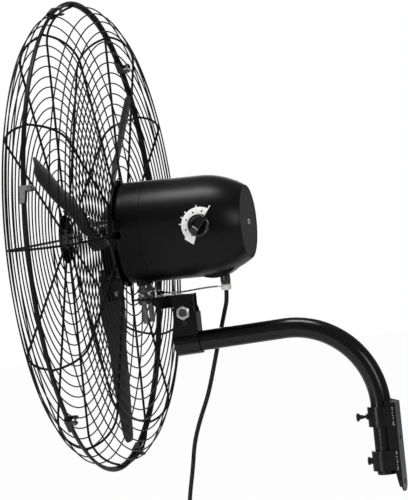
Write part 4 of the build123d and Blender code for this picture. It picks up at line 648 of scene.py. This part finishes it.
def bent_strip(place, outline, sheet):
    """Sheet metal bent to an outline of (across, back, low edge, high edge) points."""
    n = len(outline)
    verts, faces = [], []
    for edge in (2, 3):
        for side in (0.0, sheet):
            for i, p in enumerate(outline):
                a, b = outline[max(0, i - 1)], outline[min(n - 1, i + 1)]
                way = Vector((b[0] - a[0], b[1] - a[1])).normalized()
                verts.append(place(p[0] + way.y * side, p[1] - way.x * side, p[edge]))
    for i in range(n - 1):
        for a, b in zip(BOX_SECTION, BOX_SECTION[1:]):
            faces.append((a * n + i, a * n + i + 1, b * n + i + 1, b * n + i))
    faces.append((0, n, 3 * n, 2 * n))
    faces.append((n - 1, 2 * n - 1, 4 * n - 1, 3 * n - 1))
    return verts, faces


def clip_form(angle):
    """A clip over both rim wires: a plate outside, a lip in front, a plate inside and two tabs."""
    out, side = rotor_way(angle)

    def place(across, back, w):
        return head(0, back, 0) + (out * across + side * w) * MM

    bend = [(CLIP_BEND * math.cos(a), CLIP_BEND * math.sin(a))
            for a in (i * math.pi / 8 for i in range(5))]
    outline = [(CLIP_NEAR, y, low, high) for y, low, high in CLIP_TAB]
    outline += [(CLIP_NEAR + CLIP_BEND - c, CLIP_FRONT + CLIP_BEND - s, CLIP_LOW, CLIP_HIGH)
                for c, s in bend]
    outline += [(CLIP_FAR - CLIP_BEND + s, CLIP_FRONT + CLIP_BEND - c, CLIP_LOW, CLIP_HIGH)
                for c, s in bend]
    outline += [(CLIP_FAR, y, low, high) for y, low, high in reversed(CLIP_TAB)]
    return bent_strip(place, outline, CLIP_SHEET)


clips = [clip_form(CLIP_FIRST + k * 360 / CLIP_COUNT) for k in range(CLIP_COUNT)]
# The near clip is painted lighter grey than the other five: painted light for the light that falls
# on it. All six are the same black part.
piece("near_rim_clip", *clips[0], "head", CLIP, "grey_clip", ("rim_clips",), smooth=False)
piece("rim_clips_form", *joined(*clips[1:]), "head", ENAMEL, "black_enamel", ("rim_clips",),
      smooth=False)

# ---- tether --------------------------------------------------------------------------------
LUG_Z, LUG_SHEET, LUG_BORE, LUG_R, LUG_STEPS = -104.8, 1.2, 5.1, 8.0, 32
lug = []
for z in (0.0, LUG_SHEET):
    for r in (LUG_BORE, LUG_R):
        for i in range(LUG_STEPS):
            a = 2 * math.pi * i / LUG_STEPS
            lug.append(head(-STUD_X + r * math.cos(a), STUD_Y + r * math.sin(a), LUG_Z + z))
CRIMP_OUTLINE = [(0, 1.2), (0.8, 2.1), (9, 2.3), (9.4, 2.0), (11.5, 2.0), (12.2, 1.6)]
crimp = lathe(head(-STUD_X, 86.4, LUG_Z + 1.0), (0.05, 1, -0.05), CRIMP_OUTLINE, 20)
piece("tether_lug", *joined((lug, between(BOX_SECTION, LUG_STEPS)), crimp), "head", ZINC, "zinc",
      ("tether_wire",), smooth=False)

SLEEVE_PATH = [(-21.6, 96, -105), (-20, 108, -109.5), (-16, 136, -110.6), (-10, 168, -107.4),
               (-5, 194, -105.4), (-3, 205, -105.6)]
BARE_PATH = [(-3.2, 203, -105.5), (-2.2, 208, -105.9), (-1.6, 212.6, -106.1)]
for name, path, radius, look, slot in (("tether_lead", SLEEVE_PATH, 1.5, GLAND, "gland_black"),
                                       ("tether_end", BARE_PATH, 1.0, WIRE_STEEL, "zinc")):
    wire = round_wire(name, path, radius, 4, look)
    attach(wire, "head")

# ---- gland ---------------------------------------------------------------------------------
GLAND_OUTLINE = [(0, 8.4, 0), (8, 8.6, 0), (9.4, 8.5, 1), (17.1, 8.3, 1), (17.9, 8.1, 0.6),
                 (18.4, 7.4, 0), (18.5, 3.8, 0), (0, 3.8, 0)]
CLAMP_OUTLINE = [(0, 3.8), (0, 6.6), (0.4, 7.8), (1.4, 8.6), (3.4, 8.9), (4.6, 8.3), (5.6, 8.8),
                 (8.2, 8.6), (9.3, 7.6), (9.8, 5.8), (9.8, 3.8), (0, 3.8)]
GLAND_FLUTES, FLUTE_DEPTH = 8, 1.3
gland = fluted(head(0, 221, -84.5), DOWN, GLAND_OUTLINE, GLAND_FLUTES, FLUTE_DEPTH)
clamp = lathe(head(0, 221, -103.1), DOWN, CLAMP_OUTLINE)
piece("cord_gland_form", *gland, "head", GLAND, "gland_black", ("cord_gland",))
piece("cord_clamp_form", *clamp, "head", CLAMP, "clamp_white", ("cord_clamp",))
